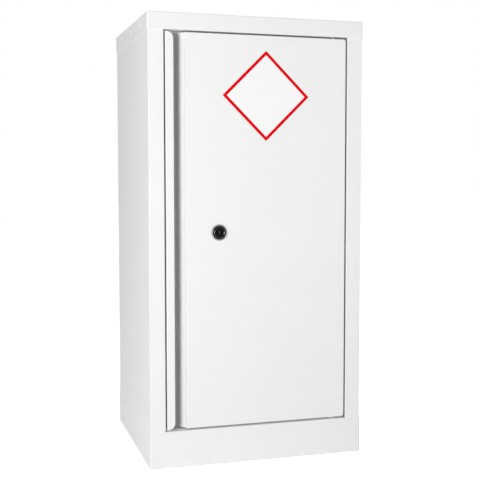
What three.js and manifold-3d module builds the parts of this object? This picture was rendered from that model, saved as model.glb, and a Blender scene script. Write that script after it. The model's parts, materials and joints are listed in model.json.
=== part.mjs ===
// A free-standing acid storage cabinet in folded sheet steel. It has one inset door on pivots with a
// full-height channel pull, a lock that drives two locking rods, a lipped shelf on slotted uprights and a liner
// tray in its base.
// Millimetres. +X is to the right of someone facing the door, the door faces -Y, and +Z is up from the floor.
import * as THREE from "three";
import { mergeVertices } from "three/addons/utils/BufferGeometryUtils.js";
import Module from "manifold-3d";

const wasm = await Module();
wasm.setup();

// Overall sheet-metal size
const height = 915;
const width = 455;
const depth = 420;

// Sheet and clearances
const sheet = 1.2;
const seam = 0.3; // between a piece and what it seats on, laps or is held by
const foldRadius = 1.8; // outside a fold
const overrun = 4; // how far a cutter runs past what it cuts

// Facets
const foldSteps = 3;
const boreFacets = 20;
const pinFacets = 16;
const discFacets = 36;
const rivetFacets = 12;

// Cap and base, which lap round the carcass
const lap = sheet + seam;
const cap = { height: 34, returnDepth: 36, lipHeight: 10 };
const base = { height: 75.5, returnDepth: 36, lipHeight: 10 };
const planCorner = foldRadius + lap; // runs round the carcass's folded corners at an even distance
const capBottom = height - cap.height;

// Carcass inside the cap and the base
const carcassHalf = width / 2 - lap;
const carcassFront = -depth / 2 + lap;
const carcassBack = depth / 2 - lap;
const carcassBottom = sheet + seam;
const carcassTop = height - sheet - seam;
const wallInside = carcassHalf - sheet;

// Stiles and the opening between them
const stileWidth = 32;
const stopWidth = 12;
const rearFlange = 20;
const openingHalf = carcassHalf - stileWidth;

// Door
const doorGap = 3;
const door = { depth: 30, foldRadius: 2.6, cornerRadius: 5, flange: 12 };
const doorHalf = openingHalf - doorGap;
const doorBottom = base.height + doorGap;
const doorTop = capBottom - doorGap;
const doorFace = carcassFront;
const doorBack = doorFace + door.depth;
const doorSkinBack = doorFace + sheet;

// Channel pull along the door's left edge
const pull = { lip: 16, mouth: 24, lipCornerRadius: 13.5, straight: 7, lean: 14 };
const lipEdge = -doorHalf + pull.lip;
const panelLeft = lipEdge + pull.mouth;

// Buffers on the door stop
const buffer = { radius: 4, thickness: 2.4, inset: 4.5, endDistance: 90 };
const endStop = { width: 40, height: 9 };
const stopFace = doorBack + buffer.thickness + 2 * seam;

// Door pivots
const pivot = { inset: 26, behindFace: 10, pinRadius: 3, running: 0.25, reach: 5 };
const pivotX = doorHalf - pivot.inset;
const pivotY = doorFace + pivot.behindFace;
const hingePlate = { width: 54, depth: 22, thickness: 3, pivotToEdge: 22 };
const pinHead = { radius: 5.5, thickness: 2.4 };
const bush = { wall: 1.5 };

// Lock
const lock = { fromPanelEdge: 68.5, headRadius: 13.6, barrelRadius: 11, barrelReach: 15, standOut: 3.5 };
const lockX = panelLeft + lock.fromPanelEdge;
const lockZ = (doorBottom + doorTop) / 2;
const bezel = { radius: 16.6, rise: 2.4, base: 0.8 };
const headThickness = lock.standOut - bezel.base - 2 * seam;
const ringGroove = { radius: 10.8, width: 1.2, depth: 0.7 };
const plug = { radius: 7.6, recess: 0.5, headRadius: 9, headThickness: 1.4, tail: 7 };
const keyway = { width: 2.2, height: 9, depth: 7 };
const nut = { acrossCorners: 31, thickness: 5 };
const camScrew = { headRadius: 3.2, headThickness: 2.2, shankRadius: 1.7, shankLength: 8, slot: 0.9 };
const barrelBack = doorSkinBack + lock.barrelReach;

// Cam, its studs and the rods that they drive
const cam = { thickness: 2.5, hubRadius: 9, endRadius: 5.5, studSwing: 14 };
const stud = { radius: 2.5, play: 0.7, headRadius: 4, headThickness: 1.4 };
const camFront = barrelBack + seam;
const camBack = camFront + cam.thickness;
const quarterTurn = Math.PI / 2;
const studShare = Math.SQRT1_2; // sine and cosine of half a quarter turn
const studRise = cam.studSwing * studShare;
const yoke = { thickness: 3, rim: 3, shank: 12, shankLength: 31, sink: 8 };
const yokeFront = camBack + seam;
const studNear = studRise;
const studFar = cam.studSwing;
const yokeOffset = (studNear + studFar) / 2;
const yokeSlot = {
  halfLength: (studFar - studNear) / 2 + stud.radius + stud.play,
  halfHeight: stud.radius + stud.play,
};
const rod = { radius: 4, running: 0.25, shortOfDoorEdge: 1 };
const rodY = yokeFront + yoke.thickness / 2;
const rodHole = { play: 1.2 };
const rodBush = { wall: 1.4, flange: 1.8, flangeThickness: 2, length: 8 };
const rodGuide = { fromLock: 200, width: 26, foot: 18, thickness: 1.5, bendRadius: 3, past: 7 };

// Door stiffener
const stiffener = { fromLock: 128, crown: 34, depth: 22, flange: 12, endDistance: 24 };

// Shelf, its clips and its slotted uprights
const upright = { crown: 28, depth: 9, flange: 9, bottom: 112, top: 862, fromFront: 66, fromBack: 66 };
const slot = { width: 14, height: 3.6, pitch: 50, endDistance: 25, shelfIndex: 7 };
const clip = { width: 22, tongueWidth: 12.6, thickness: 1.5, ledge: 15, drop: 14 };
const clipHook = { reach: 2.4, drop: 7, bendRadius: 1.8 };
const shelf = { rise: 24, hem: 8, cornerRadius: 3, fromFront: 60, fromBack: 9, sidePlay: 0.7 };
const crownInside = wallInside - seam - upright.depth;

// Liner tray in the base
const liner = { width: 330, depth: 330, height: 66, wall: 3, draft: 7, corner: 22, rim: 8, fromFront: 60 };

// Blind rivets that hold the cap and the base to the side panels
const rivet = { radius: 2.3, headRadius: 4.7, headRise: 1.1, tailRadius: 3.4, tailLength: 3 };
const rivetDepths = { front: 77, middle: 197, back: 317 };
const rivetBelowBaseTop = 18;

// Finishes
const powderCoat = { color: 0xf3f4f3, roughness: 0.42, metalness: 0 };
const zincPlate = { color: 0xb9bcbc, roughness: 0.38, metalness: 0.9 };
const brightSteel = { color: 0xd2d4d5, roughness: 0.25, metalness: 1 };
const blackLacquer = { color: 0x0c0c0d, roughness: 0.25, metalness: 0.2 };
const blackRubber = { color: 0x1a1a1b, roughness: 0.85, metalness: 0 };
const nylon = { color: 0xe9e8e2, roughness: 0.5, metalness: 0 };
const linerPlastic = { color: 0xdfe2e1, roughness: 0.48, metalness: 0 };

const cabinet = new THREE.Group();
// The lock stands out in front, so the whole is set back by half of that to centre its outline on the origin.
const assembly = new THREE.Group();
assembly.position.y = (lock.standOut - lap) / 2;
cabinet.add(assembly);

// Solids

function solidOf(geometry) {
  const source = geometry.index ? geometry.toNonIndexed() : geometry.clone();
  source.deleteAttribute("normal");
  source.deleteAttribute("uv");
  const merged = mergeVertices(source);
  const place = merged.attributes.position;
  const corners = [new THREE.Vector3(), new THREE.Vector3(), new THREE.Vector3()];
  const faces = [];
  let volume = 0;
  for (let i = 0; i < merged.index.count; i += 3) {
    const face = [merged.index.getX(i), merged.index.getX(i + 1), merged.index.getX(i + 2)];
    if (new Set(face).size < face.length) continue;
    face.forEach((vertex, at) => corners[at].fromBufferAttribute(place, vertex));
    volume += corners[0].dot(corners[1].clone().cross(corners[2]));
    faces.push(face);
  }
  const outward = volume < 0 ? faces.map((face) => face.reverse()) : faces;
  const triVerts = new Uint32Array(outward.flat());
  return new wasm.Manifold(new wasm.Mesh({ numProp: 3, vertProperties: place.array, triVerts }));
}

function geometryOf(solid) {
  const mesh = solid.getMesh();
  const geometry = new THREE.BufferGeometry();
  geometry.setAttribute("position", new THREE.BufferAttribute(mesh.vertProperties, mesh.numProp));
  geometry.setIndex(new THREE.BufferAttribute(mesh.triVerts, 1));
  const faceted = geometry.toNonIndexed();
  faceted.computeVertexNormals();
  return faceted;
}

function piece(name, solid, finish, holder = assembly) {
  const mesh = new THREE.Mesh(geometryOf(solid), new THREE.MeshStandardMaterial(finish));
  mesh.name = name;
  holder.add(mesh);
  return mesh;
}

const joined = (solids) => solids.reduce((whole, next) => whole.add(next));
const cutBy = (solid, cutters) => cutters.reduce((whole, next) => whole.subtract(next), solid);

// A block between two values on each axis
function block([left, right], [front, back], [bottom, top]) {
  const geometry = new THREE.BoxGeometry(right - left, back - front, top - bottom);
  return solidOf(geometry.translate((left + right) / 2, (front + back) / 2, (bottom + top) / 2));
}

// Frames that lay an outline drawn in a plane, and the way it is drawn out, along the object's own axes
const layFrames = {
  x: [new THREE.Vector3(0, 1, 0), new THREE.Vector3(0, 0, 1), new THREE.Vector3(1, 0, 0)],
  y: [new THREE.Vector3(1, 0, 0), new THREE.Vector3(0, 0, -1), new THREE.Vector3(0, 1, 0)],
  z: [new THREE.Vector3(1, 0, 0), new THREE.Vector3(0, 1, 0), new THREE.Vector3(0, 0, 1)],
};

// An outline drawn out along one axis from start to end. For y it is drawn as (x, -z), and for x as (y, z).
function drawn(outline, axis, start, end) {
  const options = { depth: end - start, bevelEnabled: false, curveSegments: foldSteps * 2 };
  const geometry = new THREE.ExtrudeGeometry(outline, options).translate(0, 0, start);
  return solidOf(geometry.applyMatrix4(new THREE.Matrix4().makeBasis(...layFrames[axis])));
}

// A round bar along one axis, centred at a point of the plane across it
function bar(radius, axis, start, end, [across, up], facets = boreFacets) {
  const geometry = new THREE.CylinderGeometry(radius, radius, end - start, facets);
  geometry.rotateX(quarterTurn).translate(across, up, (start + end) / 2);
  return solidOf(geometry.applyMatrix4(new THREE.Matrix4().makeBasis(...layFrames[axis])));
}

// A turned piece: its profile is (radius, distance along the axis), closed on itself or on the axis
function turned(profile, axis, [across, up], facets = discFacets) {
  const points = profile.map(([radius, along]) => new THREE.Vector2(radius, along));
  const geometry = new THREE.LatheGeometry(points, facets).rotateX(quarterTurn).translate(across, up, 0);
  return solidOf(geometry.applyMatrix4(new THREE.Matrix4().makeBasis(...layFrames[axis])));
}

// The points of a rectangle with its own radius at each corner, listed from lower left, anticlockwise
function roundedPoints([left, right], [low, high], radii, steps = foldSteps) {
  const corners = [
    [left, low, 1, 1, Math.PI],
    [right, low, -1, 1, -quarterTurn],
    [right, high, -1, -1, 0],
    [left, high, 1, -1, quarterTurn],
  ];
  return corners.flatMap(([x, y, inX, inY, start], i) => {
    const radius = radii[i];
    if (radius <= 0) return [new THREE.Vector2(x, y)];
    const centre = new THREE.Vector2(x + inX * radius, y + inY * radius);
    return Array.from({ length: steps + 1 }, (_, step) => {
      const angle = start + (quarterTurn * step) / steps;
      return new THREE.Vector2(Math.cos(angle), Math.sin(angle)).multiplyScalar(radius).add(centre);
    });
  });
}

const rectangle = (...sides) => new THREE.Shape(roundedPoints(...sides));

// The section of a folded strip: a centre line through the points, rounded at its folds, given its thickness
function foldedSection(points, thickness, outsideRadius) {
  const line = points.map(([x, y]) => new THREE.Vector2(x, y));
  const middleRadius = outsideRadius - thickness / 2;
  const stations = [];
  line.forEach((point, i) => {
    const before = i > 0 ? point.clone().sub(line[i - 1]).normalize() : null;
    const after = i < line.length - 1 ? line[i + 1].clone().sub(point).normalize() : null;
    if (!before || !after) {
      const along = before ?? after;
      stations.push([point, new THREE.Vector2(-along.y, along.x)]);
      return;
    }
    const turn = Math.atan2(before.cross(after), before.dot(after));
    const setback = middleRadius * Math.tan(Math.abs(turn) / 2);
    const side = new THREE.Vector2(-before.y, before.x).multiplyScalar(Math.sign(turn));
    const start = point.clone().addScaledVector(before, -setback);
    const centre = start.clone().addScaledVector(side, middleRadius);
    for (let step = 0; step <= foldSteps; step += 1) {
      const swung = (turn * step) / foldSteps;
      const origin = new THREE.Vector2();
      const outward = side.clone().negate().rotateAround(origin, swung);
      const normal = new THREE.Vector2(-before.y, before.x).rotateAround(origin, swung);
      stations.push([centre.clone().addScaledVector(outward, middleRadius), normal]);
    }
  });
  const left = stations.map(([at, normal]) => at.clone().addScaledVector(normal, thickness / 2));
  const right = stations.map(([at, normal]) => at.clone().addScaledVector(normal, -thickness / 2));
  return new THREE.Shape([...left, ...right.reverse()]);
}

// An open pan in a local frame: its closed face lies at zero, rounded into walls that rise to the given rise
function pan(outer, inner, rise, edgeRadius, wall) {
  const filled = (outline, radius, floor) => {
    const options = {
      depth: rise,
      bevelThickness: radius,
      bevelSize: radius,
      bevelOffset: -radius,
      bevelSegments: foldSteps,
    };
    return solidOf(new THREE.ExtrudeGeometry(outline, options).translate(0, 0, radius + floor));
  };
  const hollow = filled(outer, edgeRadius, 0).subtract(filled(inner, edgeRadius - wall, wall));
  const reach = [-2 * height, 2 * height];
  return hollow.subtract(block(reach, reach, [rise, 2 * height]));
}

// A closed skin through rings of points, first ring and last ring capped
function lofted(rings) {
  const count = rings[0].length;
  const positions = rings.flat();
  const index = [];
  rings.slice(1).forEach((_, below) => {
    for (let i = 0; i < count; i += 1) {
      const next = (i + 1) % count;
      const lower = [below * count + i, below * count + next];
      const upper = [(below + 1) * count + i, (below + 1) * count + next];
      index.push(lower[0], lower[1], upper[1], lower[0], upper[1], upper[0]);
    }
  });
  for (let i = 1; i < count - 1; i += 1) {
    const top = (rings.length - 1) * count;
    index.push(0, i + 1, i, top, top + i, top + i + 1);
  }
  const geometry = new THREE.BufferGeometry();
  geometry.setAttribute("position", new THREE.Float32BufferAttribute(positions.flat(), 3));
  geometry.setIndex(index);
  return solidOf(geometry);
}

// One ring of a tray: a rounded rectangle at a height
function ring(halfWidth, [front, back], cornerRadius, level) {
  const radii = Array(4).fill(cornerRadius);
  const points = roundedPoints([-halfWidth, halfWidth], [front, back], radii, foldSteps * 2);
  return points.map((point) => [point.x, point.y, level]);
}

// Carcass

const rivetRows = [
  { name: "cap", level: capBottom + cap.height / 2 },
  { name: "base", level: base.height - rivetBelowBaseTop },
];
const rivetPlaces = rivetRows.flatMap(({ name, level }) =>
  Object.entries(rivetDepths).map(([place, behind]) => {
    return { name: `${name}_${place}`, y: -depth / 2 + behind, level };
  }),
);

// Holes for the rivets of both sides, which run across the whole width
const rivetHoles = rivetPlaces.map(({ y, level }) =>
  bar(rivet.radius + seam, "x", -width, width, [y, level], rivetFacets),
);

// A side panel with its rear flange, stile, jamb and a last fold, which is the door stop on the left
function sidePanel(name, side) {
  const wall = side * (carcassHalf - sheet / 2);
  const jamb = side * (openingHalf + sheet / 2);
  const stopLine = stopFace + sheet / 2;
  const section = foldedSection(
    [
      [wall - side * rearFlange, carcassBack - sheet / 2],
      [wall, carcassBack - sheet / 2],
      [wall, carcassFront + sheet / 2],
      [jamb, carcassFront + sheet / 2],
      [jamb, stopLine],
      [jamb + stopWidth, stopLine],
    ],
    sheet,
    foldRadius,
  );
  const folded = drawn(section, "z", carcassBottom, carcassTop);
  const inside = side * wallInside;
  const middle = side * overrun;
  const across = [Math.min(inside, middle), Math.max(inside, middle)];
  const through = [carcassFront - overrun, stopFace + sheet + overrun];
  const behindCap = block(across, through, [capBottom - seam, height]);
  const behindBase = block(across, through, [0, base.height + seam]);
  piece(name, cutBy(folded, [behindCap, behindBase, ...rivetHoles]), powderCoat);
}

function backPanel() {
  const line = wallInside - seam - sheet / 2;
  const back = carcassBack - sheet - seam - sheet / 2;
  const front = back - rearFlange;
  const points = [
    [-line, front],
    [-line, back],
    [line, back],
    [line, front],
  ];
  const section = foldedSection(points, sheet, foldRadius);
  piece("back_panel", drawn(section, "z", carcassBottom, carcassTop), powderCoat);
}

// A pan over the whole plan of the cabinet, closed face down at zero
function planPan(rise) {
  const innerRadius = planCorner - sheet;
  const outer = rectangle([-width / 2, width / 2], [-depth / 2, depth / 2], Array(4).fill(planCorner));
  const insideHalf = width / 2 - sheet;
  const insideDepth = depth / 2 - sheet;
  const inner = rectangle([-insideHalf, insideHalf], [-insideDepth, insideDepth], Array(4).fill(innerRadius));
  return pan(outer, inner, rise, foldRadius, sheet);
}

// The return folded in from the front wall's free edge, with a last lip. Upward is 1 for the cap, else -1.
function frontReturn(edge, upward, returnDepth, lipHeight) {
  const front = -depth / 2 + sheet / 2;
  const back = front + returnDepth;
  const level = edge + (upward * sheet) / 2;
  const points = [
    [front, level],
    [back, level],
    [back, edge + upward * lipHeight],
  ];
  const reach = wallInside - seam;
  return drawn(foldedSection(points, sheet, foldRadius), "x", -reach, reach);
}

const upperRodX = lockX - yokeOffset;
const lowerRodX = lockX + yokeOffset;
const rodHoleRadius = rod.radius + rodHole.play;
const pinBoreRadius = pivot.pinRadius + pivot.running;
const bushRadius = pinBoreRadius + bush.wall;

function topCap() {
  const shell = planPan(cap.height).rotate([180, 0, 0]).translate([0, 0, height]);
  const head = frontReturn(capBottom, 1, cap.returnDepth, cap.lipHeight);
  const around = [capBottom - overrun, capBottom + sheet + overrun];
  const bushHole = bar(bushRadius + seam, "z", ...around, [pivotX, pivotY]);
  const keeper = bar(rodHoleRadius, "z", ...around, [upperRodX, rodY]);
  piece("top_cap", cutBy(shell.add(head), [bushHole, keeper, ...rivetHoles]), powderCoat);
}

function baseTray() {
  const shell = planPan(base.height);
  const sill = frontReturn(base.height, -1, base.returnDepth, base.lipHeight);
  const around = [base.height - sheet - overrun, base.height + overrun];
  const pinHole = bar(pinBoreRadius, "z", ...around, [pivotX, pivotY]);
  const keeper = bar(rodHoleRadius, "z", ...around, [lowerRodX, rodY]);
  piece("base_tray", cutBy(shell.add(sill), [pinHole, keeper, ...rivetHoles]), powderCoat);
}

// A blind rivet: a low domed head outside, a shank through both sheets and a swelled tail inside
function blindRivet(name, side, y, level) {
  const outside = width / 2 + seam;
  const inside = wallInside - seam;
  const points = [
    [0, inside - rivet.tailLength],
    [rivet.tailRadius, inside - rivet.tailLength],
    [rivet.tailRadius, inside],
    [rivet.radius, inside],
    [rivet.radius, outside],
    [rivet.headRadius, outside],
    [rivet.headRadius * Math.SQRT1_2, outside + rivet.headRise * Math.SQRT1_2],
    [0, outside + rivet.headRise],
  ];
  const profile = points.map(([radius, along]) => [radius, side * along]);
  piece(name, turned(profile, "x", [y, level], rivetFacets), powderCoat);
}

function rivets() {
  rivetPlaces.forEach(({ name, y, level }) => {
    blindRivet(`rivet_${name}_left`, -1, y, level);
    blindRivet(`rivet_${name}_right`, 1, y, level);
  });
}

// Pivots

const plateAcross = [pivotX - hingePlate.width + hingePlate.pivotToEdge, pivotX + hingePlate.pivotToEdge];
const plateFront = doorFace + door.foldRadius + seam; // clear of the door's folds
const plateThrough = [plateFront, plateFront + hingePlate.depth];

function hingePlateAt(name, level, holeRadius) {
  const plate = block(plateAcross, plateThrough, [level, level + hingePlate.thickness]);
  const around = [level - overrun, level + hingePlate.thickness + overrun];
  piece(name, plate.subtract(bar(holeRadius, "z", ...around, [pivotX, pivotY])), zincPlate);
}

// A pin with a head below or above: it runs from the head's outer face to its tip
function hingePin(name, headOuter, tip) {
  const toward = Math.sign(tip - headOuter);
  const profile = [
    [0, headOuter],
    [pinHead.radius, headOuter],
    [pinHead.radius, headOuter + toward * pinHead.thickness],
    [pivot.pinRadius, headOuter + toward * pinHead.thickness],
    [pivot.pinRadius, tip - toward * sheet],
    [pivot.pinRadius - sheet, tip],
    [0, tip],
  ];
  piece(name, turned(profile, "z", [pivotX, pivotY], pinFacets), brightSteel);
}

function pivots() {
  const framePlateTop = capBottom + sheet + seam;
  const framePlateBottom = base.height - sheet - seam - hingePlate.thickness;
  const doorPlateTop = doorTop - sheet - seam - hingePlate.thickness;
  const doorPlateBottom = doorBottom + sheet + seam;
  hingePlateAt("frame_hinge_plate_top", framePlateTop, bushRadius + seam);
  hingePlateAt("frame_hinge_plate_bottom", framePlateBottom, pinBoreRadius);
  hingePlateAt("door_hinge_plate_top", doorPlateTop, pinBoreRadius);
  hingePlateAt("door_hinge_plate_bottom", doorPlateBottom, pinBoreRadius);
  const topTip = framePlateTop + hingePlate.thickness + pivot.reach;
  const bottomTip = doorPlateBottom + hingePlate.thickness + pivot.reach;
  hingePin("hinge_pin_top", doorPlateTop - seam - pinHead.thickness, topTip);
  hingePin("hinge_pin_bottom", framePlateBottom - seam - pinHead.thickness, bottomTip);
  const bushBore = [pinBoreRadius, bushRadius];
  const bushSpan = [capBottom, framePlateTop + hingePlate.thickness];
  sleeve("hinge_bush_top", bushBore, bushSpan, [pivotX, pivotY], nylon);
  const washerSpan = [base.height + seam, doorBottom - seam];
  sleeve("hinge_washer_bottom", bushBore, washerSpan, [pivotX, pivotY], nylon);
}

function sleeve(name, [bore, radius], [bottom, top], place, finish) {
  const profile = [
    [bore, bottom],
    [radius, bottom],
    [radius, top],
    [bore, top],
    [bore, bottom],
  ];
  piece(name, turned(profile, "z", place, boreFacets), finish);
}

// Door

// Two corner cutters that round the lip's free corners
function lipCorners() {
  const radius = pull.lipCornerRadius;
  return [
    [doorTop, 1],
    [doorBottom, -1],
  ].map(([level, upward]) => {
    const centre = [lipEdge - radius, -(level - upward * radius)];
    const outline = new THREE.Shape();
    const facing = -upward;
    outline.moveTo(centre[0] + radius, centre[1]);
    outline.absarc(centre[0], centre[1], radius, 0, facing * quarterTurn, facing < 0);
    outline.lineTo(centre[0], centre[1] + facing * (radius + overrun));
    outline.lineTo(centre[0] + radius + overrun, centre[1] + facing * (radius + overrun));
    outline.lineTo(centre[0] + radius + overrun, centre[1]);
    outline.closePath();
    return drawn(outline, "y", doorFace - overrun, doorSkinBack + seam);
  });
}

function doorSkin() {
  const { foldRadius: edge, cornerRadius: corner, flange } = door;
  const halfHeight = (doorTop - doorBottom) / 2;
  const inset = (by, radius) => {
    const radii = [0, Math.max(radius, 0), Math.max(radius, 0), 0];
    return rectangle([panelLeft + by, doorHalf - by], [-halfHeight + by, halfHeight - by], radii);
  };
  const shell = pan(inset(0, corner), inset(sheet, corner - sheet), door.depth, edge, sheet);
  const knee = pull.straight + foldRadius;
  const leftWall = block([panelLeft - overrun, panelLeft + sheet], [-height, height], [pull.straight, height]);
  const back = drawn(inset(sheet / 2, corner - sheet / 2), "z", door.depth - sheet, door.depth);
  const window = block(
    [panelLeft - overrun, doorHalf - flange],
    [flange - halfHeight, halfHeight - flange],
    [door.depth - sheet - overrun, door.depth + overrun],
  );
  const folded = shell.subtract(leftWall).add(back.subtract(window));
  const upright = folded.rotate([-90, 0, 0]).translate([0, doorFace, lockZ]);
  const channelWall = panelLeft + sheet / 2;
  const channelFloor = doorBack - sheet / 2;
  const edgeWall = -doorHalf + sheet / 2;
  const lipLine = doorFace + sheet / 2;
  const channel = foldedSection(
    [
      [channelWall, doorFace + pull.straight - sheet],
      [channelWall, doorFace + knee],
      [channelWall - pull.lean, channelFloor],
      [edgeWall, channelFloor],
      [edgeWall, lipLine],
      [lipEdge, lipLine],
    ],
    sheet,
    foldRadius,
  );
  const ear = new THREE.Shape([
    new THREE.Vector2(channelWall, doorFace + pull.straight),
    new THREE.Vector2(channelWall + 2 * sheet, doorFace + pull.straight),
    new THREE.Vector2(channelWall + 2 * sheet, channelFloor),
    new THREE.Vector2(channelWall - pull.lean, channelFloor),
  ]);
  const throughSkin = [doorFace - overrun, doorSkinBack + overrun];
  const lockHole = bar(lock.barrelRadius + seam, "y", ...throughSkin, [lockX, -lockZ]);
  const topFlange = [doorTop - sheet - overrun, doorTop + overrun];
  const bottomFlange = [doorBottom - overrun, doorBottom + sheet + overrun];
  const rodBushHole = rod.radius + rod.running + rodBush.wall + seam;
  const cutters = [
    ...lipCorners(),
    lockHole,
    bar(pinBoreRadius, "z", ...topFlange, [pivotX, pivotY]),
    bar(pinBoreRadius, "z", ...bottomFlange, [pivotX, pivotY]),
    bar(rodBushHole, "z", ...topFlange, [upperRodX, rodY]),
    bar(rodBushHole, "z", ...bottomFlange, [lowerRodX, rodY]),
  ];
  const upperEar = drawn(ear, "z", doorTop - sheet, doorTop);
  const lowerEar = drawn(ear, "z", doorBottom, doorBottom + sheet);
  const skin = upright.add(drawn(channel, "z", doorBottom, doorTop)).add(upperEar).add(lowerEar);
  piece("door_skin", cutBy(skin, cutters), powderCoat);
}

function doorStiffener() {
  const centre = lockX + stiffener.fromLock;
  const skinLine = doorSkinBack + seam + sheet / 2;
  const crownLine = skinLine + stiffener.depth - sheet;
  const half = stiffener.crown / 2;
  const points = [
    [centre - half - stiffener.flange, skinLine],
    [centre - half, skinLine],
    [centre - half, crownLine],
    [centre + half, crownLine],
    [centre + half, skinLine],
    [centre + half + stiffener.flange, skinLine],
  ];
  const section = foldedSection(points, sheet, foldRadius);
  const span = [doorBottom + stiffener.endDistance, doorTop - stiffener.endDistance];
  piece("door_stiffener", drawn(section, "z", ...span), powderCoat);
}

// Two rubber buffers on the stop, which the closed door meets
function doorBuffers() {
  const x = -openingHalf + buffer.inset + buffer.radius;
  const span = [doorBack + seam, doorBack + seam + buffer.thickness];
  const levels = { upper: doorTop - buffer.endDistance, lower: doorBottom + buffer.endDistance };
  Object.entries(levels).forEach(([name, level]) => {
    piece(`door_buffer_${name}`, bar(buffer.radius, "y", ...span, [x, -level], pinFacets), blackRubber);
  });
}

// Two stops behind the ends of the channel, which the sill, the head and the door stop carry
function endStops() {
  const left = -doorHalf + sheet;
  const across = [left, left + endStop.width];
  const span = [doorBack + seam, doorBack + seam + buffer.thickness];
  const low = base.height + seam;
  const high = capBottom - seam;
  piece("end_stop_upper", block(across, span, [high - endStop.height, high]), powderCoat);
  piece("end_stop_lower", block(across, span, [low, low + endStop.height]), powderCoat);
}

// Lock

function lockParts() {
  const centre = [lockX, -lockZ];
  const face = doorFace - seam;
  const bezelFront = face - bezel.rise;
  const seat = face - bezel.base;
  const bore = lock.barrelRadius + seam;
  const recess = lock.headRadius + seam;
  const rounding = (bezel.radius - recess) / 2;
  const bezelProfile = [
    [bore, face],
    [bezel.radius, face],
    [bezel.radius, bezelFront + rounding],
    [bezel.radius - rounding / 2, bezelFront + rounding / 4],
    [recess + rounding, bezelFront],
    [recess, bezelFront + rounding / 2],
    [recess, seat],
    [bore, seat],
    [bore, face],
  ];
  piece("lock_bezel", turned(bezelProfile, "y", centre), brightSteel);

  const headBack = seat - seam;
  const headFront = headBack - headThickness;
  const plugBore = plug.radius + seam;
  const counterbore = plug.headRadius + seam;
  const plugFront = headFront + plug.recess;
  const plugHeadBack = plugFront + plug.headThickness;
  const groove = [ringGroove.radius - ringGroove.width / 2, ringGroove.radius + ringGroove.width / 2];
  const chamfer = ringGroove.depth;
  const housingProfile = [
    [plugBore, barrelBack],
    [lock.barrelRadius, barrelBack],
    [lock.barrelRadius, headBack],
    [lock.headRadius, headBack],
    [lock.headRadius, headFront + chamfer],
    [lock.headRadius - chamfer, headFront],
    [groove[1], headFront],
    [ringGroove.radius, headFront + ringGroove.depth],
    [groove[0], headFront],
    [counterbore, headFront],
    [counterbore, plugHeadBack + seam],
    [plugBore, plugHeadBack + seam],
    [plugBore, barrelBack],
  ];
  piece("lock_housing", turned(housingProfile, "y", centre), blackLacquer);

  const plugProfile = [
    [0, plugFront],
    [plug.headRadius, plugFront],
    [plug.headRadius, plugHeadBack],
    [plug.radius, plugHeadBack],
    [plug.radius, barrelBack],
    [0, barrelBack],
  ];
  const half = plug.tail / 2;
  const tailAcross = [lockX - half, lockX + half];
  const tail = block(tailAcross, [barrelBack - overrun, camBack], [lockZ - half, lockZ + half]);
  const keyAcross = [lockX - keyway.width / 2, lockX + keyway.width / 2];
  const keyUp = [lockZ - keyway.height / 2, lockZ + keyway.height / 2];
  const keySlot = block(keyAcross, [plugFront - overrun, plugFront + keyway.depth], keyUp);
  const screwBore = camScrew.shankRadius + seam;
  const screwEnd = camBack + seam - camScrew.shankLength - seam;
  const screwHole = bar(screwBore, "y", screwEnd, camBack + overrun, centre, rivetFacets);
  const body = turned(plugProfile, "y", centre).add(tail);
  piece("lock_plug", cutBy(body, [keySlot, screwHole]), blackLacquer);

  const nutFlats = 6;
  const nutSpan = [doorSkinBack + seam, doorSkinBack + seam + nut.thickness];
  const hexagon = bar(nut.acrossCorners / 2, "y", ...nutSpan, centre, nutFlats);
  const nutBore = bar(bore, "y", nutSpan[0] - overrun, nutSpan[1] + overrun, centre);
  piece("lock_nut", hexagon.subtract(nutBore), zincPlate);
}

// The cam is an oval plate with a riveted stud at each end. At rest it lies half a quarter turn off level.
function lockCam() {
  const turnedGroup = new THREE.Group();
  turnedGroup.position.set(lockX, 0, lockZ);
  turnedGroup.rotation.y = -quarterTurn / 2;
  assembly.add(turnedGroup);
  const swing = cam.studSwing;
  const plate = joined([
    bar(cam.hubRadius, "y", camFront, camBack, [0, 0], boreFacets),
    bar(cam.endRadius, "y", camFront, camBack, [swing, 0], boreFacets),
    bar(cam.endRadius, "y", camFront, camBack, [-swing, 0], boreFacets),
    block([-swing, swing], [camFront, camBack], [-cam.endRadius, cam.endRadius]),
  ]);
  const squareFacets = 4;
  const squareHole = (plug.tail / 2 + seam) * Math.SQRT2;
  const hole = bar(squareHole, "y", camFront - overrun, camBack + overrun, [0, 0], squareFacets);
  const studProfile = [
    [0, camFront + cam.thickness / 2],
    [stud.radius, camFront + cam.thickness / 2],
    [stud.radius, yokeFront + yoke.thickness + seam],
    [stud.headRadius, yokeFront + yoke.thickness + seam],
    [stud.headRadius, yokeFront + yoke.thickness + seam + stud.headThickness],
    [0, yokeFront + yoke.thickness + seam + stud.headThickness],
  ];
  const studs = [swing, -swing].map((x) => turned(studProfile, "y", [x, 0], pinFacets));
  piece("lock_cam", joined([plate.subtract(hole), ...studs]), zincPlate, turnedGroup);
}

function camScrewPiece() {
  const seat = camBack + seam;
  const headBack = seat + camScrew.headThickness;
  const profile = [
    [0, seat - camScrew.shankLength],
    [camScrew.shankRadius, seat - camScrew.shankLength],
    [camScrew.shankRadius, seat],
    [camScrew.headRadius, seat],
    [camScrew.headRadius, headBack - camScrew.slot],
    [camScrew.headRadius - camScrew.slot, headBack],
    [0, headBack],
  ];
  const half = camScrew.slot / 2;
  const slotCut = block(
    [lockX - camScrew.headRadius - overrun, lockX + camScrew.headRadius + overrun],
    [headBack - camScrew.slot, headBack + overrun],
    [lockZ - half, lockZ + half],
  );
  piece("cam_screw", turned(profile, "y", [lockX, -lockZ], pinFacets).subtract(slotCut), zincPlate);
}

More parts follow.
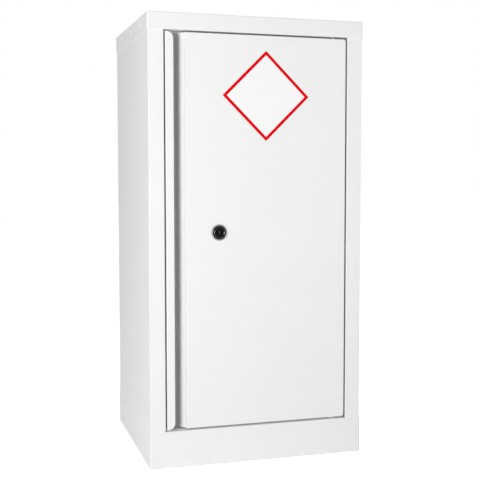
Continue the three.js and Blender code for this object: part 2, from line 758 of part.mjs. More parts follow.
// A locking rod: a slotted yoke on its stud, a flat shank past the cam, and a round bar in guide and bush
function lockingRod(name, x, upward) {
  const yokeZ = lockZ - upward * studRise;
  const halfHead = yokeSlot.halfLength + yoke.rim;
  const halfHeight = yokeSlot.halfHeight + yoke.rim;
  const layer = [yokeFront, yokeFront + yoke.thickness];
  const span = (from, to) => [Math.min(from, to), Math.max(from, to)];
  const barStart = yokeZ + upward * yoke.shankLength;
  const tip = upward > 0 ? doorTop - rod.shortOfDoorEdge : doorBottom + rod.shortOfDoorEdge;
  const headRadii = Array(4).fill(yoke.rim);
  const headUp = [-(yokeZ + halfHeight), -(yokeZ - halfHeight)];
  const head = drawn(rectangle([x - halfHead, x + halfHead], headUp, headRadii), "y", ...layer);
  const shankAcross = [x - yoke.shank / 2, x + yoke.shank / 2];
  const shankUp = span(yokeZ + (upward * halfHeight) / 2, barStart + upward * yoke.sink);
  const shank = block(shankAcross, layer, shankUp);
  const roundProfile = [
    [0, barStart],
    [rod.radius, barStart],
    [rod.radius, tip - (upward * rod.radius) / 2],
    [rod.radius / 2, tip],
    [0, tip],
  ];
  const round = turned(roundProfile, "z", [x, rodY], pinFacets);
  const slotUp = [-(yokeZ + yokeSlot.halfHeight), -(yokeZ - yokeSlot.halfHeight)];
  const slotAcross = [x - yokeSlot.halfLength, x + yokeSlot.halfLength];
  const slotRadii = Array(4).fill(stud.radius);
  const slotCut = drawn(
    rectangle(slotAcross, slotUp, slotRadii),
    "y",
    yokeFront - overrun,
    yokeFront + yoke.thickness + overrun,
  );
  piece(name, joined([head, shank, round]).subtract(slotCut), zincPlate);
}

// An angle bracket on the door skin with a hole that the rod slides through
function rodGuideBracket(name, x, upward) {
  const level = lockZ + upward * rodGuide.fromLock;
  const footLine = doorSkinBack + seam + rodGuide.thickness / 2;
  const points = [
    [footLine, level - upward * rodGuide.foot],
    [footLine, level],
    [rodY + rod.radius + rodGuide.past, level],
  ];
  const section = foldedSection(points, rodGuide.thickness, rodGuide.bendRadius);
  const bracket = drawn(section, "x", x - rodGuide.width / 2, x + rodGuide.width / 2);
  const hole = bar(rod.radius + rodHole.play / 2, "z", level - overrun, level + overrun, [x, rodY]);
  piece(name, bracket.subtract(hole), zincPlate);
}

// A flanged nylon bush in the door's top or bottom flange
function rodBushPiece(name, x, upward) {
  const edge = upward > 0 ? doorTop : doorBottom;
  const bore = rod.radius + rod.running;
  const outside = bore + rodBush.wall;
  const flangeOuter = edge - upward * (sheet + seam);
  const flangeInner = flangeOuter - upward * rodBush.flangeThickness;
  const profile = [
    [bore, edge],
    [outside, edge],
    [outside, flangeOuter],
    [outside + rodBush.flange, flangeOuter],
    [outside + rodBush.flange, flangeInner],
    [outside, flangeInner],
    [outside, edge - upward * rodBush.length],
    [bore, edge - upward * rodBush.length],
    [bore, edge],
  ];
  piece(name, turned(profile, "z", [x, rodY], boreFacets), nylon);
}

function lockingRods() {
  lockingRod("rod_upper", upperRodX, 1);
  lockingRod("rod_lower", lowerRodX, -1);
  rodGuideBracket("rod_guide_upper", upperRodX, 1);
  rodGuideBracket("rod_guide_lower", lowerRodX, -1);
  rodBushPiece("rod_bush_top", upperRodX, 1);
  rodBushPiece("rod_bush_bottom", lowerRodX, -1);
}

// Shelf and uprights

const uprightPlaces = {
  front: carcassFront + upright.fromFront,
  rear: carcassBack - upright.fromBack,
};
const slotLevels = [];
const slotRun = upright.top - upright.bottom - 2 * slot.endDistance;
for (let rise = 0; rise <= slotRun; rise += slot.pitch) {
  slotLevels.push(upright.bottom + slot.endDistance + rise);
}
const clipSlot = slotLevels[slot.shelfIndex];
const clipPlateLine = crownInside - seam - clip.thickness / 2;
const ledgeTop = clipSlot - clip.drop + clip.thickness / 2;

// A hat section on the side wall, with a ladder of slots in its crown
function slottedUpright(name, side, y) {
  const flangeLine = side * (wallInside - seam - sheet / 2);
  const crownLine = side * (crownInside + sheet / 2);
  const half = upright.crown / 2;
  const points = [
    [flangeLine, y - half - upright.flange],
    [flangeLine, y - half],
    [crownLine, y - half],
    [crownLine, y + half],
    [flangeLine, y + half],
    [flangeLine, y + half + upright.flange],
  ];
  const strip = drawn(foldedSection(points, sheet, foldRadius), "z", upright.bottom, upright.top);
  const across = [side * crownInside - overrun, side * crownInside + overrun];
  const through = [y - slot.width / 2, y + slot.width / 2];
  const halfSlot = slot.height / 2;
  const cuts = slotLevels.map((level) => block(across, through, [level - halfSlot, level + halfSlot]));
  piece(name, cutBy(strip, cuts), zincPlate);
}

// A clip's section is drawn as (x, z), so it is drawn out towards -y
const layClip = [new THREE.Vector3(1, 0, 0), new THREE.Vector3(0, 0, 1), new THREE.Vector3(0, -1, 0)];

// A clip that hooks into a slot and holds a ledge under the shelf
function shelfClip(name, side, y) {
  const plate = side * clipPlateLine;
  const ledge = clipSlot - clip.drop;
  const hookLine = side * (crownInside + sheet + clipHook.reach);
  const wide = foldedSection(
    [
      [plate - side * clip.ledge, ledge],
      [plate, ledge],
      [plate, clipSlot + clip.thickness / 2],
    ],
    clip.thickness,
    clipHook.bendRadius,
  );
  const narrow = foldedSection(
    [
      [plate, ledge + clip.thickness],
      [plate, clipSlot],
      [hookLine, clipSlot],
      [hookLine, clipSlot - clipHook.drop],
    ],
    clip.thickness,
    clipHook.bendRadius,
  );
  const drawnWide = (section, clipWidth) => {
    const flat = new THREE.ExtrudeGeometry(section, { depth: clipWidth, bevelEnabled: false });
    const lay = new THREE.Matrix4().makeBasis(...layClip);
    return solidOf(flat.applyMatrix4(lay).translate(0, y + clipWidth / 2, 0));
  };
  piece(name, drawnWide(wide, clip.width).add(drawnWide(narrow, clip.tongueWidth)), zincPlate);
}

function shelfSupports() {
  Object.entries(uprightPlaces).forEach(([place, y]) => {
    slottedUpright(`upright_${place}_left`, -1, y);
    slottedUpright(`upright_${place}_right`, 1, y);
    shelfClip(`shelf_clip_${place}_left`, -1, y);
    shelfClip(`shelf_clip_${place}_right`, 1, y);
  });
}

// The shelf is a shallow tray with hemmed edges, so that it holds a spill
function lippedShelf() {
  const half = clipPlateLine - clip.thickness / 2 - shelf.sidePlay;
  const front = carcassFront + shelf.fromFront;
  const back = carcassBack - shelf.fromBack - rearFlange;
  const bottom = ledgeTop + seam;
  const top = bottom + shelf.rise;
  const at = (inset, radius, level) => ring(half - inset, [front + inset, back - inset], radius, level);
  const outer = shelf.cornerRadius;
  const inner = shelf.cornerRadius - sheet;
  const rings = [
    at(foldRadius / 2, outer, bottom),
    at(0, outer, bottom + foldRadius),
    at(0, outer, top),
    at(shelf.hem, inner, top),
    at(shelf.hem, inner, top - sheet),
    at(sheet, inner, top - sheet),
    at(sheet, inner, bottom + foldRadius),
    at(sheet + foldRadius / 2, inner, bottom + sheet),
  ];
  piece("shelf", lofted(rings), powderCoat);
}

// A moulded tray with drafted walls and a turned-out rim
function linerTray() {
  const front = carcassFront + liner.fromFront;
  const back = front + liner.depth;
  const bottom = sheet + seam;
  const top = bottom + liner.height;
  const half = liner.width / 2;
  const corner = liner.corner;
  const at = (inset, radius, level) => ring(half - inset, [front + inset, back - inset], radius, level);
  const rim = liner.rim;
  const wall = liner.wall;
  const foot = rim + liner.draft;
  const rings = [
    at(foot + wall, corner - wall, bottom),
    at(foot, corner, bottom + wall),
    at(rim, corner, top - wall),
    at(0, corner + rim, top - wall),
    at(0, corner + rim, top),
    at(rim + wall, corner - wall, top),
    at(foot + wall, corner - wall, bottom + 2 * wall),
    at(foot + 2 * wall, corner - 2 * wall, bottom + wall),
  ];
  piece("sump_liner", lofted(rings), linerPlastic);
}

sidePanel("side_panel_left", -1);
sidePanel("side_panel_right", 1);
backPanel();
topCap();
baseTray();
rivets();
pivots();
doorSkin();
doorStiffener();
doorBuffers();
endStops();
lockParts();
lockCam();
camScrewPiece();
lockingRods();
shelfSupports();
lippedShelf();
linerTray();

export default cabinet;
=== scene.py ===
"""Dresses the acid storage cabinet: its finishes, its fine shapes, its camera and its light.

Everything is in metres and in the frame of the packed model, with +Z up and the door towards -Y.
"""

import json
import math

import bmesh
import bpy
from bpy.props import FloatProperty, FloatVectorProperty, IntProperty, PointerProperty
from mathutils import Matrix, Vector


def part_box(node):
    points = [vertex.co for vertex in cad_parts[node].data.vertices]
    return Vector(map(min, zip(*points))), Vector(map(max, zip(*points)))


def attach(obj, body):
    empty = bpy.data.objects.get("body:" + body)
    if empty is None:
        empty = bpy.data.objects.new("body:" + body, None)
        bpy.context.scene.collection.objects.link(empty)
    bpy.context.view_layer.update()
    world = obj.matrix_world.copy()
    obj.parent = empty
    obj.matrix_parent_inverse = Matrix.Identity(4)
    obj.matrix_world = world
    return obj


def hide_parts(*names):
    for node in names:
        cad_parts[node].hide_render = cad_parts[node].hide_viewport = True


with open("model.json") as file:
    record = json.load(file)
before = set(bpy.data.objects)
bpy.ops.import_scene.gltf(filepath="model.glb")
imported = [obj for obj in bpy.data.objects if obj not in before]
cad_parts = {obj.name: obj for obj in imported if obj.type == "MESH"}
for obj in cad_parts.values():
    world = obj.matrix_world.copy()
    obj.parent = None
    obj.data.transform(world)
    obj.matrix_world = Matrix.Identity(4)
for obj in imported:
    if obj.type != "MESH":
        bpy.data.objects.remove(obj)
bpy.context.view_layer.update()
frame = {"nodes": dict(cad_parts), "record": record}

bl_info = {
    "name": "Acid storage cabinet",
    "version": (1, 0, 0),
    "blender": (4, 5, 0),
    "location": "3D View > Sidebar > Cabinet",
    "description": "Builds the looks of a sheet-steel acid storage cabinet around its solids",
    "category": "Object",
}

RECORD = frame["record"]
SLOT_OF = {row["node"]: row["material_slot"] for row in RECORD["subparts"]}
BODY_OF = {node: body for body, nodes in RECORD["behaviour"]["bodies"].items() for node in nodes}
SIDES = {"left": -1, "right": 1}
DEPTHS = ("front", "rear")
UNIT = {"x": Vector((1, 0, 0)), "y": Vector((0, 1, 0)), "z": Vector((0, 0, 1))}
ACROSS = {"x": ("y", "z"), "y": ("x", "z"), "z": ("x", "y")}
FULL_TURN = 2 * math.pi
ON_AXIS = 1e-7
WHITE = (1, 1, 1, 1)
# Detail of a smooth and of a fine noise, then the stretch of brushed and of flowed marks
SMOOTH, FINE = 1.0, 3.0
BRUSHED_UP, FLOWED_UP = (6, 6, 0.4), (1, 1, 2)
# Facets round each kind of turned part
LOCK_FACETS, PIVOT_FACETS, ROD_FACETS, RIVET_FACETS, WELD_FACETS = 96, 48, 40, 24, 20
# How much of a line the rounding at one of its ends may take at most
LONGEST_EASE_SHARE = 0.49
# Where a nut's chamfer starts, as a share of the distance to its flats
CHAMFER_START = 1.01
# Radius and height of a domed head from its foot up, as shares of the whole
DOME_SHARES = ((1, 0.15), (0.93, 0.5), (0.78, 0.76), (0.55, 0.93))


# Settings


def size(name, metres, description):
    """A length that a user may change."""
    return FloatProperty(
        name=name, default=metres, description=description, unit="LENGTH", precision=5
    )


def share(name, value, description):
    """A number from 0 to 1."""
    return FloatProperty(
        name=name, default=value, description=description, min=0, max=1, subtype="FACTOR"
    )


def angle(name, degrees, description):
    """An angle, written here in degrees."""
    return FloatProperty(
        name=name, default=math.radians(degrees), description=description, subtype="ANGLE"
    )


def colour(name, value, description):
    """A linear colour."""
    return FloatVectorProperty(
        name=name, default=value, description=description, min=0, max=1, subtype="COLOR"
    )


def place(name, value, description):
    """A point in the row frame."""
    return FloatVectorProperty(
        name=name, default=value, description=description, subtype="TRANSLATION", unit="LENGTH"
    )


def power(name, watts, description):
    """The power of a lamp."""
    return FloatProperty(name=name, default=watts, description=description, min=0, unit="POWER")


class EdgeSettings(bpy.types.PropertyGroup):
    """How the solids' sheet edges are finished."""

    sheet_round: size("Sheet edge", 0.00024, "Rounding of a coated sheet edge")
    small_round: size("Small edge", 0.00015, "Rounding of the edges of small parts")
    fine_round: size("Fine edge", 0.000075, "Rounding of the finest edges")
    join: size("Joining distance", 0.00002, "Corners closer than this are one corner")
    door_join: size("Door joining distance", 0.00018, "The same for the door's mitred corners")
    flat: angle("Flat angle", 0.6, "Facets that turn less than this are one face")
    sharp: angle("Sharp angle", 48, "Edges that turn more than this are rounded")


class CoatSettings(bpy.types.PropertyGroup):
    """The white powder coat."""

    white: colour("White", (0.868, 0.872, 0.868), "Colour of the coat")
    warm: colour("Thick coat", (0.852, 0.854, 0.846), "Colour where the coat lies thicker")
    roughness: share("Roughness", 0.44, "Mean roughness")
    drift: share("Roughness drift", 0.08, "How far the roughness wanders")
    shine: share("Shine", 0.4, "Strength of the coat's reflections")
    cloud: size("Cloud size", 0.09, "Size of the slow changes of tone")
    peel: size("Orange peel", 0.0013, "Size of the coat's ripples")
    peel_height: size("Peel height", 0.00003, "Height of the coat's ripples")
    # Painted shade: the colour below darkens the bottom of the door's channel pull, between the two
    # depths after it, to stand in for the shade that falls there.
    thin: colour("Thin coat", (0.60, 0.603, 0.60), "Colour where the powder hardly reaches")
    channel: size("Channel", 0.040, "From the door's free edge to the far side of its channel")
    channel_shade_from: size("Thin from", 0.010, "Depth in the channel where the coat starts to get thin")
    channel_shade_to: size("Thin to", 0.0285, "Depth in the channel where it is thinnest")
    gap: size("Gap", 0.0036, "Width of the gap beside the door, with half a sheet")
    # Painted shade: the dark colour below darkens the side panels' jambs in the gap beside the
    # door, between the two depths after it, to stand in for the shade there.
    gap_painted_shade: colour("Thin coat in the gap", (0.38, 0.38, 0.38), "Colour of the coat in the gap")
    gap_shade_from: size("Gap thin from", 0.001, "Depth in the gap where the coat starts to get thin")
    gap_shade_to: size("Gap thin to", 0.004, "Depth in the gap where it is thinnest")
    bead: size("Bead", 0.0014, "How far the bead that closes a joint covers the ledge")
    bead_reach: size("Bead reach", 0.004, "How far that bead reaches along the wall")
    bead_sink: size("Bead sink", 0.0003, "How far a bead fills the joint")
    # Painted light: the beads along the base's sides are whiter than the coat to lift the shade on
    # their up-facing faces.
    sealant: colour("Sealant", (0.98, 0.98, 0.975), "Colour of the beads along the base's sides")
    stile: size("Stile", 0.032, "Width of the frame beside the door")
    fold: size("Fold", 0.0026, "From a folded corner to where a bead starts")


class MetalSettings(bpy.types.PropertyGroup):
    """The bare and plated metals."""

    zinc: colour("Zinc", (0.60, 0.61, 0.62), "Colour of the zinc plate")
    zinc_dull: colour("Dull zinc", (0.47, 0.48, 0.50), "Colour of its duller crystals")
    zinc_roughness: share("Zinc roughness", 0.36, "Mean roughness of the zinc plate")
    zinc_drift: share("Zinc drift", 0.2, "How far that roughness wanders")
    crystal: size("Crystal", 0.005, "Size of the zinc's crystals")
    crystal_share: share("Crystal share", 0.6, "How much the crystals show over the brushing")
    nickel: colour("Nickel", (0.30, 0.297, 0.29), "Colour of the black-nickel plate")
    nickel_roughness: share("Nickel roughness", 0.36, "Mean roughness of the nickel plate")
    nickel_drift: share("Nickel drift", 0.12, "How far that roughness wanders")
    handling: size("Handling marks", 0.004, "Size of the marks of handling")
    tool_mark: size("Tool mark", 0.0003, "Spacing of the turned rings")
    tool_mark_height: size("Tool mark height", 0.000003, "Height of turned rings and brush marks")
    tool_chatter: share("Tool chatter", 0.6, "How uneven the turned rings are")


class PlasticSettings(bpy.types.PropertyGroup):
    """The plastics, the rubber and the lacquer."""

    lacquer: colour("Lacquer", (0.003, 0.003, 0.0034), "Colour of the black lock")
    lacquer_worn: colour("Worn lacquer", (0.006, 0.006, 0.0065), "Colour where hands rub it")
    lacquer_roughness: share("Lacquer roughness", 0.07, "Mean roughness of the lacquer")
    lacquer_shine: share("Lacquer shine", 0.04, "Strength of the lacquer's reflections")
    rubbed_shine: share("Rubbed shine", 0.42, "The same on the ridge that keys rub bright")
    smear: size("Smears", 0.006, "Size of the smears on the lacquer")
    dust: size("Dust", 0.0004, "Size of the dust under the lacquer")
    dust_height: size("Dust height", 0.000002, "Height of that dust")
    rubber: colour("Rubber", (0.021, 0.021, 0.022), "Colour of the door buffers")
    rubber_dusty: colour("Dusty rubber", (0.034, 0.033, 0.032), "Colour where dust clings")
    rubber_roughness: share("Rubber roughness", 0.76, "Mean roughness of the rubber")
    nylon: colour("Nylon", (0.74, 0.72, 0.66), "Colour of the bushes")
    nylon_pale: colour("Pale nylon", (0.79, 0.78, 0.73), "Colour of its flow marks")
    nylon_roughness: share("Nylon roughness", 0.47, "Mean roughness of the nylon")
    nylon_flow: size("Nylon flow", 0.003, "Size of its flow marks")
    liner: colour("Liner", (0.70, 0.715, 0.705), "Colour of the liner tray")
    liner_milky: colour("Milky liner", (0.76, 0.77, 0.755), "Colour of its milky flow marks")
    liner_roughness: share("Liner roughness", 0.46, "Mean roughness of the liner")
    liner_flow: size("Liner flow", 0.05, "Size of its flow marks")
    grain: size("Mould grain", 0.0007, "Size of the moulded grain")
    grain_height: size("Grain height", 0.00002, "Height of the moulded grain")
    drift: share("Plastic drift", 0.14, "How far the roughness of the plastics wanders")


class SignSettings(bpy.types.PropertyGroup):
    """The blank diamond on the door."""

    middle_x: size("Across", 0.0165, "Middle of the diamond across the door")
    middle_z: size("Up", 0.7556, "Height of the middle of the diamond")
    half: size("Half diagonal", 0.0915, "From the middle to a corner")
    border: size("Border", 0.0062, "Width of the red border")
    corner: size("Corner", 0.0016, "Radius of the film's corners")
    film: size("Film", 0.00018, "Thickness of the film")
    paper: colour("Paper", (0.92, 0.92, 0.917), "Colour of the blank film")
    paper_shade: colour("Paper shade", (0.905, 0.907, 0.905), "Colour of its slow clouds")
    red: colour("Border colour", (0.77, 0.001, 0.004), "Colour of the printed border")
    red_thin: colour("Thin border", (0.81, 0.001, 0.006), "Colour where the ink is thin")
    ink_shine: share("Ink shine", 0.02, "Specular level of the ink")
    roughness: share("Film roughness", 0.38, "Mean roughness of the film")
    drift: share("Film drift", 0.08, "How far that roughness wanders")
    cloud: size("Paper clouds", 0.02, "Size of the clouds in the film")
    ink: size("Ink clouds", 0.004, "Size of the clouds in the ink")
    ripple: size("Ripple", 0.0016, "Size of the film's ripples")
    ripple_height: size("Ripple height", 0.00001, "Height of the film's ripples")


class RivetSettings(bpy.types.PropertyGroup):
    """The painted rivets and the weld marks."""

    head: size("Head", 0.0047, "Radius of a rivet's head")
    rise: size("Rise", 0.00145, "Height of the head")
    shank: size("Shank", 0.0023, "Radius of the shank")
    tail: size("Tail", 0.0034, "Radius of the swelled tail")
    tail_length: size("Tail length", 0.003, "Length of the swelled tail")
    eye: size("Eye", 0.0011, "Radius of the dimple in the head")
    eye_depth: size("Eye depth", 0.0003, "Depth of the dimple")
    eye_floor: size("Eye floor", 0.00077, "Radius of the dimple's floor")
    ease: size("Ease", 0.0003, "Rounding of the dimple and the tail")
    weld: size("Weld mark", 0.0029, "Radius of a spot weld's mark")
    weld_rise: size("Weld rise", 0.00025, "Height of a weld mark's rim")
    weld_inset: size("Weld inset", 0.0087, "From the middle of a rear flange to its welds")
    flange: size("Stiffener flange", 0.009, "Width of the stiffener's flanges")
    sheet: size("Stiffener sheet", 0.0012, "Thickness of the stiffener's sheet")
    back_welds: IntProperty(name="Back welds", default=9, description="Marks in a rear flange")
    door_welds: IntProperty(name="Door welds", default=8, description="Marks in a door flange")
    weld_margin: size("Weld margin", 0.05, "From a flange's end to its first weld")


class LockSettings(bpy.types.PropertyGroup):
    """The round lock in the door."""

    head: size("Head", 0.0136, "Radius of the black head")
    head_height: size("Head height", 0.0021, "Thickness of the black head")
    bezel_round: share("Bezel rounding", 0.7, "Rounding of the ring's front, of its width")
    rim: size("Rim", 0.0011, "Rounding of the head's rim")
    ridge: size("Ring ridge", 0.0103, "Radius of the ridge on the head")
    ridge_slope: size("Ridge slope", 0.00096, "Width of each slope of the ridge")
    ridge_height: size("Ridge height", 0.0005, "Height of the ridge")
    ridge_crest: size("Ridge crest", 0.00005, "Half the width of the ridge's crest")
    barrel: size("Barrel", 0.011, "Radius of the barrel")
    thread: size("Thread", 0.001, "Pitch of the barrel's thread")
    thread_depth: size("Thread depth", 0.0004, "Depth of the thread")
    plug: size("Plug", 0.009, "Radius of the plug's face")
    plug_height: size("Plug height", 0.0014, "Thickness of the plug's face")
    plug_body: size("Plug body", 0.0076, "Radius of the plug behind its face")
    plug_sunk: size("Plug sunk", 0.0003, "How far the plug's face lies behind the ridge")
    tail: size("Tail", 0.007, "Width of the square that carries the cam")
    keyway: size("Keyway", 0.0022, "Width of the keyway")
    keyway_height: size("Keyway height", 0.009, "Height of the keyway")
    keyway_depth: size("Keyway depth", 0.007, "Depth of the keyway")
    keyway_round: share("Keyway rounding", 0.9, "Rounding of its ends, of half its width")
    fit: size("Fit", 0.0003, "Room round what fits in the lock")
    nut_flats: IntProperty(name="Nut flats", default=6, description="Flats of the lock nut")
    nut_chamfer: size("Nut chamfer", 0.0008, "Chamfer of the lock nut")


class PivotSettings(bpy.types.PropertyGroup):
    """The door's pivots and buffers."""

    pin: size("Pin", 0.003, "Radius of a hinge pin")
    pin_head: size("Pin head", 0.0024, "Thickness of a pin's head")
    pin_point: size("Pin point", 0.0012, "Length of a pin's tapered point")
    bore: size("Bore", 0.00325, "Bore of a bush on its pin")
    ease: size("Ease", 0.0004, "Rounding of turned edges")
    buffer_dome: size("Buffer dome", 0.0012, "Rounding of a rubber buffer")


class RodSettings(bpy.types.PropertyGroup):
    """The locking rods."""

    rod: size("Rod", 0.004, "Radius of a rod")
    yoke: size("Yoke", 0.003, "Thickness of the yoke")
    yoke_rim: size("Yoke rim", 0.003, "Width of the yoke round its slot")
    yoke_height: size("Yoke height", 0.0124, "Height of the yoke")
    slot_round: share("Slot rounding", 0.95, "Rounding of the slot's ends, of half its height")
    shank: size("Shank", 0.012, "Width of the flat shank")
    shank_length: size("Shank length", 0.031, "From the yoke's middle to the round bar")
    sink: size("Sink", 0.008, "How far the flat shank runs along the bar")
    bush_wall: size("Bush wall", 0.0014, "Wall of a rod bush")
    bush_flange: size("Bush flange", 0.002, "Thickness of a rod bush's flange")
    bush_sunk: size("Bush sunk", 0.0015, "From the door's edge to that flange")
    bush_fit: size("Bush fit", 0.00025, "Room between a rod and its bush")


class UprightSettings(bpy.types.PropertyGroup):
    """The slotted uprights that carry the shelf."""

    sheet: size("Sheet", 0.0012, "Thickness of the sheet")
    fold: size("Fold", 0.0012, "Middle radius of a fold")
    crown: size("Crown", 0.028, "Width of the slotted crown")
    flange: size("Flange", 0.009, "Width of a flange")
    pitch: size("Pitch", 0.05, "Spacing of the slots")
    slot_width: size("Slot width", 0.014, "Width of a slot")
    slot_height: size("Slot height", 0.0036, "Height of a slot")
    slot_round: share("Slot rounding", 0.98, "Rounding of its ends, of half its height")


class LinerSettings(bpy.types.PropertyGroup):
    """The liner tray in the base."""

    wall: size("Wall", 0.003, "Thickness of the tray's wall")
    rim: size("Rim", 0.008, "Width of the turned-out rim")
    draft: size("Draft", 0.007, "How far the walls lean in")
    corner: size("Corner", 0.022, "Radius of the tray's corners")
    foot: size("Foot", 0.006, "Rounding between floor and walls")


class StageSettings(bpy.types.PropertyGroup):
    """The camera, the lamps and the floor."""

    camera: place("Camera", (-0.564217, -2.150978, 0.605037), "Where the camera stands")
    yaw: angle("Yaw", 18.1547, "How far the camera turns towards +X")
    pitch: angle("Pitch", -4.0574, "How far the camera looks up")
    roll: angle("Roll", 0.1684, "How far the camera rolls")
    lens: FloatProperty(name="Lens", default=73.8885, description="Focal length in millimetres")
    shift: FloatProperty(name="Shift", default=-0.108333, description="Sideways lens shift")
    target: place("Target", (0, -0.05, 0.46), "What the lamps point at")
    key: place("Key lamp", (-1.855, -2.17, 0.65), "Where the key lamp stands")
    key_side: size("Key side", 0.9, "Side of the key lamp")
    key_power: power("Key power", 56.3, "Power of the key lamp")
    fill: place("Fill lamp", (1.9, -1.9, 0.95), "Where the fill lamp stands")
    fill_side: size("Fill side", 0.45, "Side of the fill lamp")
    fill_power: power("Fill power", 17.3, "Power of the fill lamp")
    top: place("Top lamp", (0.15, 0.95, 1.9), "Where the lamp over the back stands")
    top_side: size("Top side", 0.8, "Side of the lamp over the back")
    top_power: power("Top power", 7, "Power of the lamp over the back")
    ambient: FloatProperty(name="Ambient", default=0.162, description="Strength of the room light")
    floor: colour("Floor", (0.68, 0.68, 0.68), "Colour of the floor")
    floor_level: size("Floor level", -0.0002, "Height of the floor")
    floor_half: size("Floor half", 9, "Half the width of the floor")
    floor_glow: FloatProperty(
        name="Floor glow", default=0.97, description="Light the camera sees from the floor itself"
    )


SETTINGS = {
    "cabinet_edges": EdgeSettings,
    "cabinet_coat": CoatSettings,
    "cabinet_metal": MetalSettings,
    "cabinet_plastic": PlasticSettings,
    "cabinet_sign": SignSettings,
    "cabinet_rivets": RivetSettings,
    "cabinet_lock": LockSettings,
    "cabinet_pivots": PivotSettings,
    "cabinet_rods": RodSettings,
    "cabinet_uprights": UprightSettings,
    "cabinet_liner": LinerSettings,
    "cabinet_stage": StageSettings,
}


# Node trees


class Term:
    """One socket of a tree, so that node sums read as plain arithmetic."""

    def __init__(self, tree, socket):
        self.tree = tree
        self.socket = socket

    def other(self, name):
        """Another output of the same node."""
        return Term(self.tree, self.socket.node.outputs[name])

    def _result(self, operation, left, right):
        """The output of a Math node on two terms or numbers."""
        return self.tree.node("ShaderNodeMath", {"operation": operation}, {0: left, 1: right})

    def __add__(self, value):
        return self._result("ADD", self, value)

    def __radd__(self, value):
        return self._result("ADD", value, self)

    def __sub__(self, value):
        return self._result("SUBTRACT", self, value)

    def __rsub__(self, value):
        return self._result("SUBTRACT", value, self)

    def __mul__(self, value):
        return self._result("MULTIPLY", self, value)

    def __rmul__(self, value):
        return self._result("MULTIPLY", value, self)


class Tree:
    """A node tree, the one method that adds to it, and names for its usual nodes."""

    def __init__(self, node_tree):
        self.node_tree = node_tree

    def node(self, kind, settings=None, sockets=None, output=0):
        """Adds a node: its settings first, then the values or links of its sockets."""
        made = self.node_tree.nodes.new(kind)
        for name, value in (settings or {}).items():
            setattr(made, name, value)
        for name, value in (sockets or {}).items():
            if isinstance(value, Term):
                self.node_tree.links.new(value.socket, made.inputs[name])
            else:
                made.inputs[name].default_value = value
        return Term(self, made.outputs[output]) if made.outputs else None

    def mix(self, factor, first, second):
        """A colour between two, by Blender's Mix node."""
        return self.node(
            "ShaderNodeMix", {"data_type": "RGBA"}, {0: factor, 6: first, 7: second}, 2
        )

    def below(self, value, limit):
        """One where a value is under its limit, else zero."""
        return self.node("ShaderNodeMath", {"operation": "LESS_THAN"}, {0: value, 1: limit})

    def rise(self, value, start, end):
        """Zero up to the start, one from the end on, and even in between."""
        limits = {"From Min": start, "From Max": end}
        return self.node("ShaderNodeMapRange", {"clamp": True}, {"Value": value, **limits})

    def here(self):
        """The point on the piece, in the row frame."""
        return self.node("ShaderNodeTexCoord", output="Object")

    def across(self):
        """How far across the cabinet that point is; its other outputs are Y and Z."""
        return self.node("ShaderNodeSeparateXYZ", None, {"Vector": self.here()})

    def noise(self, feature, detail=2.0, stretch=None):
        """Noise whose features have a size in metres, longer along the axes with a stretch."""
        at = self.here()
        if stretch:
            at = self.node("ShaderNodeMapping", None, {"Vector": at, "Scale": stretch})
        return self.node(
            "ShaderNodeTexNoise", None, {"Vector": at, "Scale": 1 / feature, "Detail": detail}
        )

    def bump(self, height, metres):
        """A bump whose full height is given in metres."""
        return self.node(
            "ShaderNodeBump", None, {"Strength": 1.0, "Distance": metres, "Height": height}
        )


def opaque(value):
    """A colour property with its alpha."""
    return (*value, 1)


def emptied(owner):
    """The node tree of a material or a world, with nothing left in it."""
    owner.use_nodes = True
    owner.node_tree.nodes.clear()
    return Tree(owner.node_tree)


def coated(name, surface):
    """A material that surface(tree) gives the sockets of its principled shader."""
    material = bpy.data.materials.new(name)
    tree = emptied(material)
    shader = tree.node("ShaderNodeBsdfPrincipled", None, surface(tree), "BSDF")
    tree.node("ShaderNodeOutputMaterial", None, {"Surface": shader})
    return material


def drifting(noise, mean, drift):
    """A roughness that wanders round its mean with a noise."""
    return noise * drift + (mean - drift / 2)


def powder_coat(tree):
    """White coat with slow clouds and a fine orange peel."""
    coat = bpy.context.scene.cabinet_coat
    cloud = tree.noise(coat.cloud)
    peel = tree.noise(coat.peel, SMOOTH)
    return {
        "Base Color": tree.mix(cloud, opaque(coat.white), opaque(coat.warm)),
        "Roughness": drifting(cloud + peel, coat.roughness - coat.drift / 2, coat.drift),
        "Specular IOR Level": coat.shine,
        "Normal": tree.bump(peel, coat.peel_height),
    }


def sealant(tree):
    """The joint filler, painted whiter than the coat: painted light that lifts the shade on the
    beads along the base's sides.
    """
    surface = powder_coat(tree)
    surface["Base Color"] = opaque(bpy.context.scene.cabinet_coat.sealant)
    return surface


def coat_with_painted_shade(tree, painted_shade_amount, thin):
    """The powder coat with painted shade: it takes the darker colour where the painted shade amount
    is one.
    """
    surface = powder_coat(tree)
    surface["Base Color"] = tree.mix(painted_shade_amount, surface["Base Color"], opaque(thin))
    return surface


def channel_coat(tree):
    """The coat of the door, with painted shade that darkens it towards the bottom of the channel
    pull.
    """
    coat = bpy.context.scene.cabinet_coat
    edge, face = end_of("door_skin", "x", -1), end_of("door_skin", "y", -1)
    across = tree.across()
    # Painted shade deep in the channel pull, darker towards its bottom.
    painted_shade_depth = tree.rise(across.other("Y"), face + coat.channel_shade_from, face + coat.channel_shade_to)
    in_channel = tree.below(across, edge + coat.channel)
    return coat_with_painted_shade(tree, painted_shade_depth * in_channel, coat.thin)


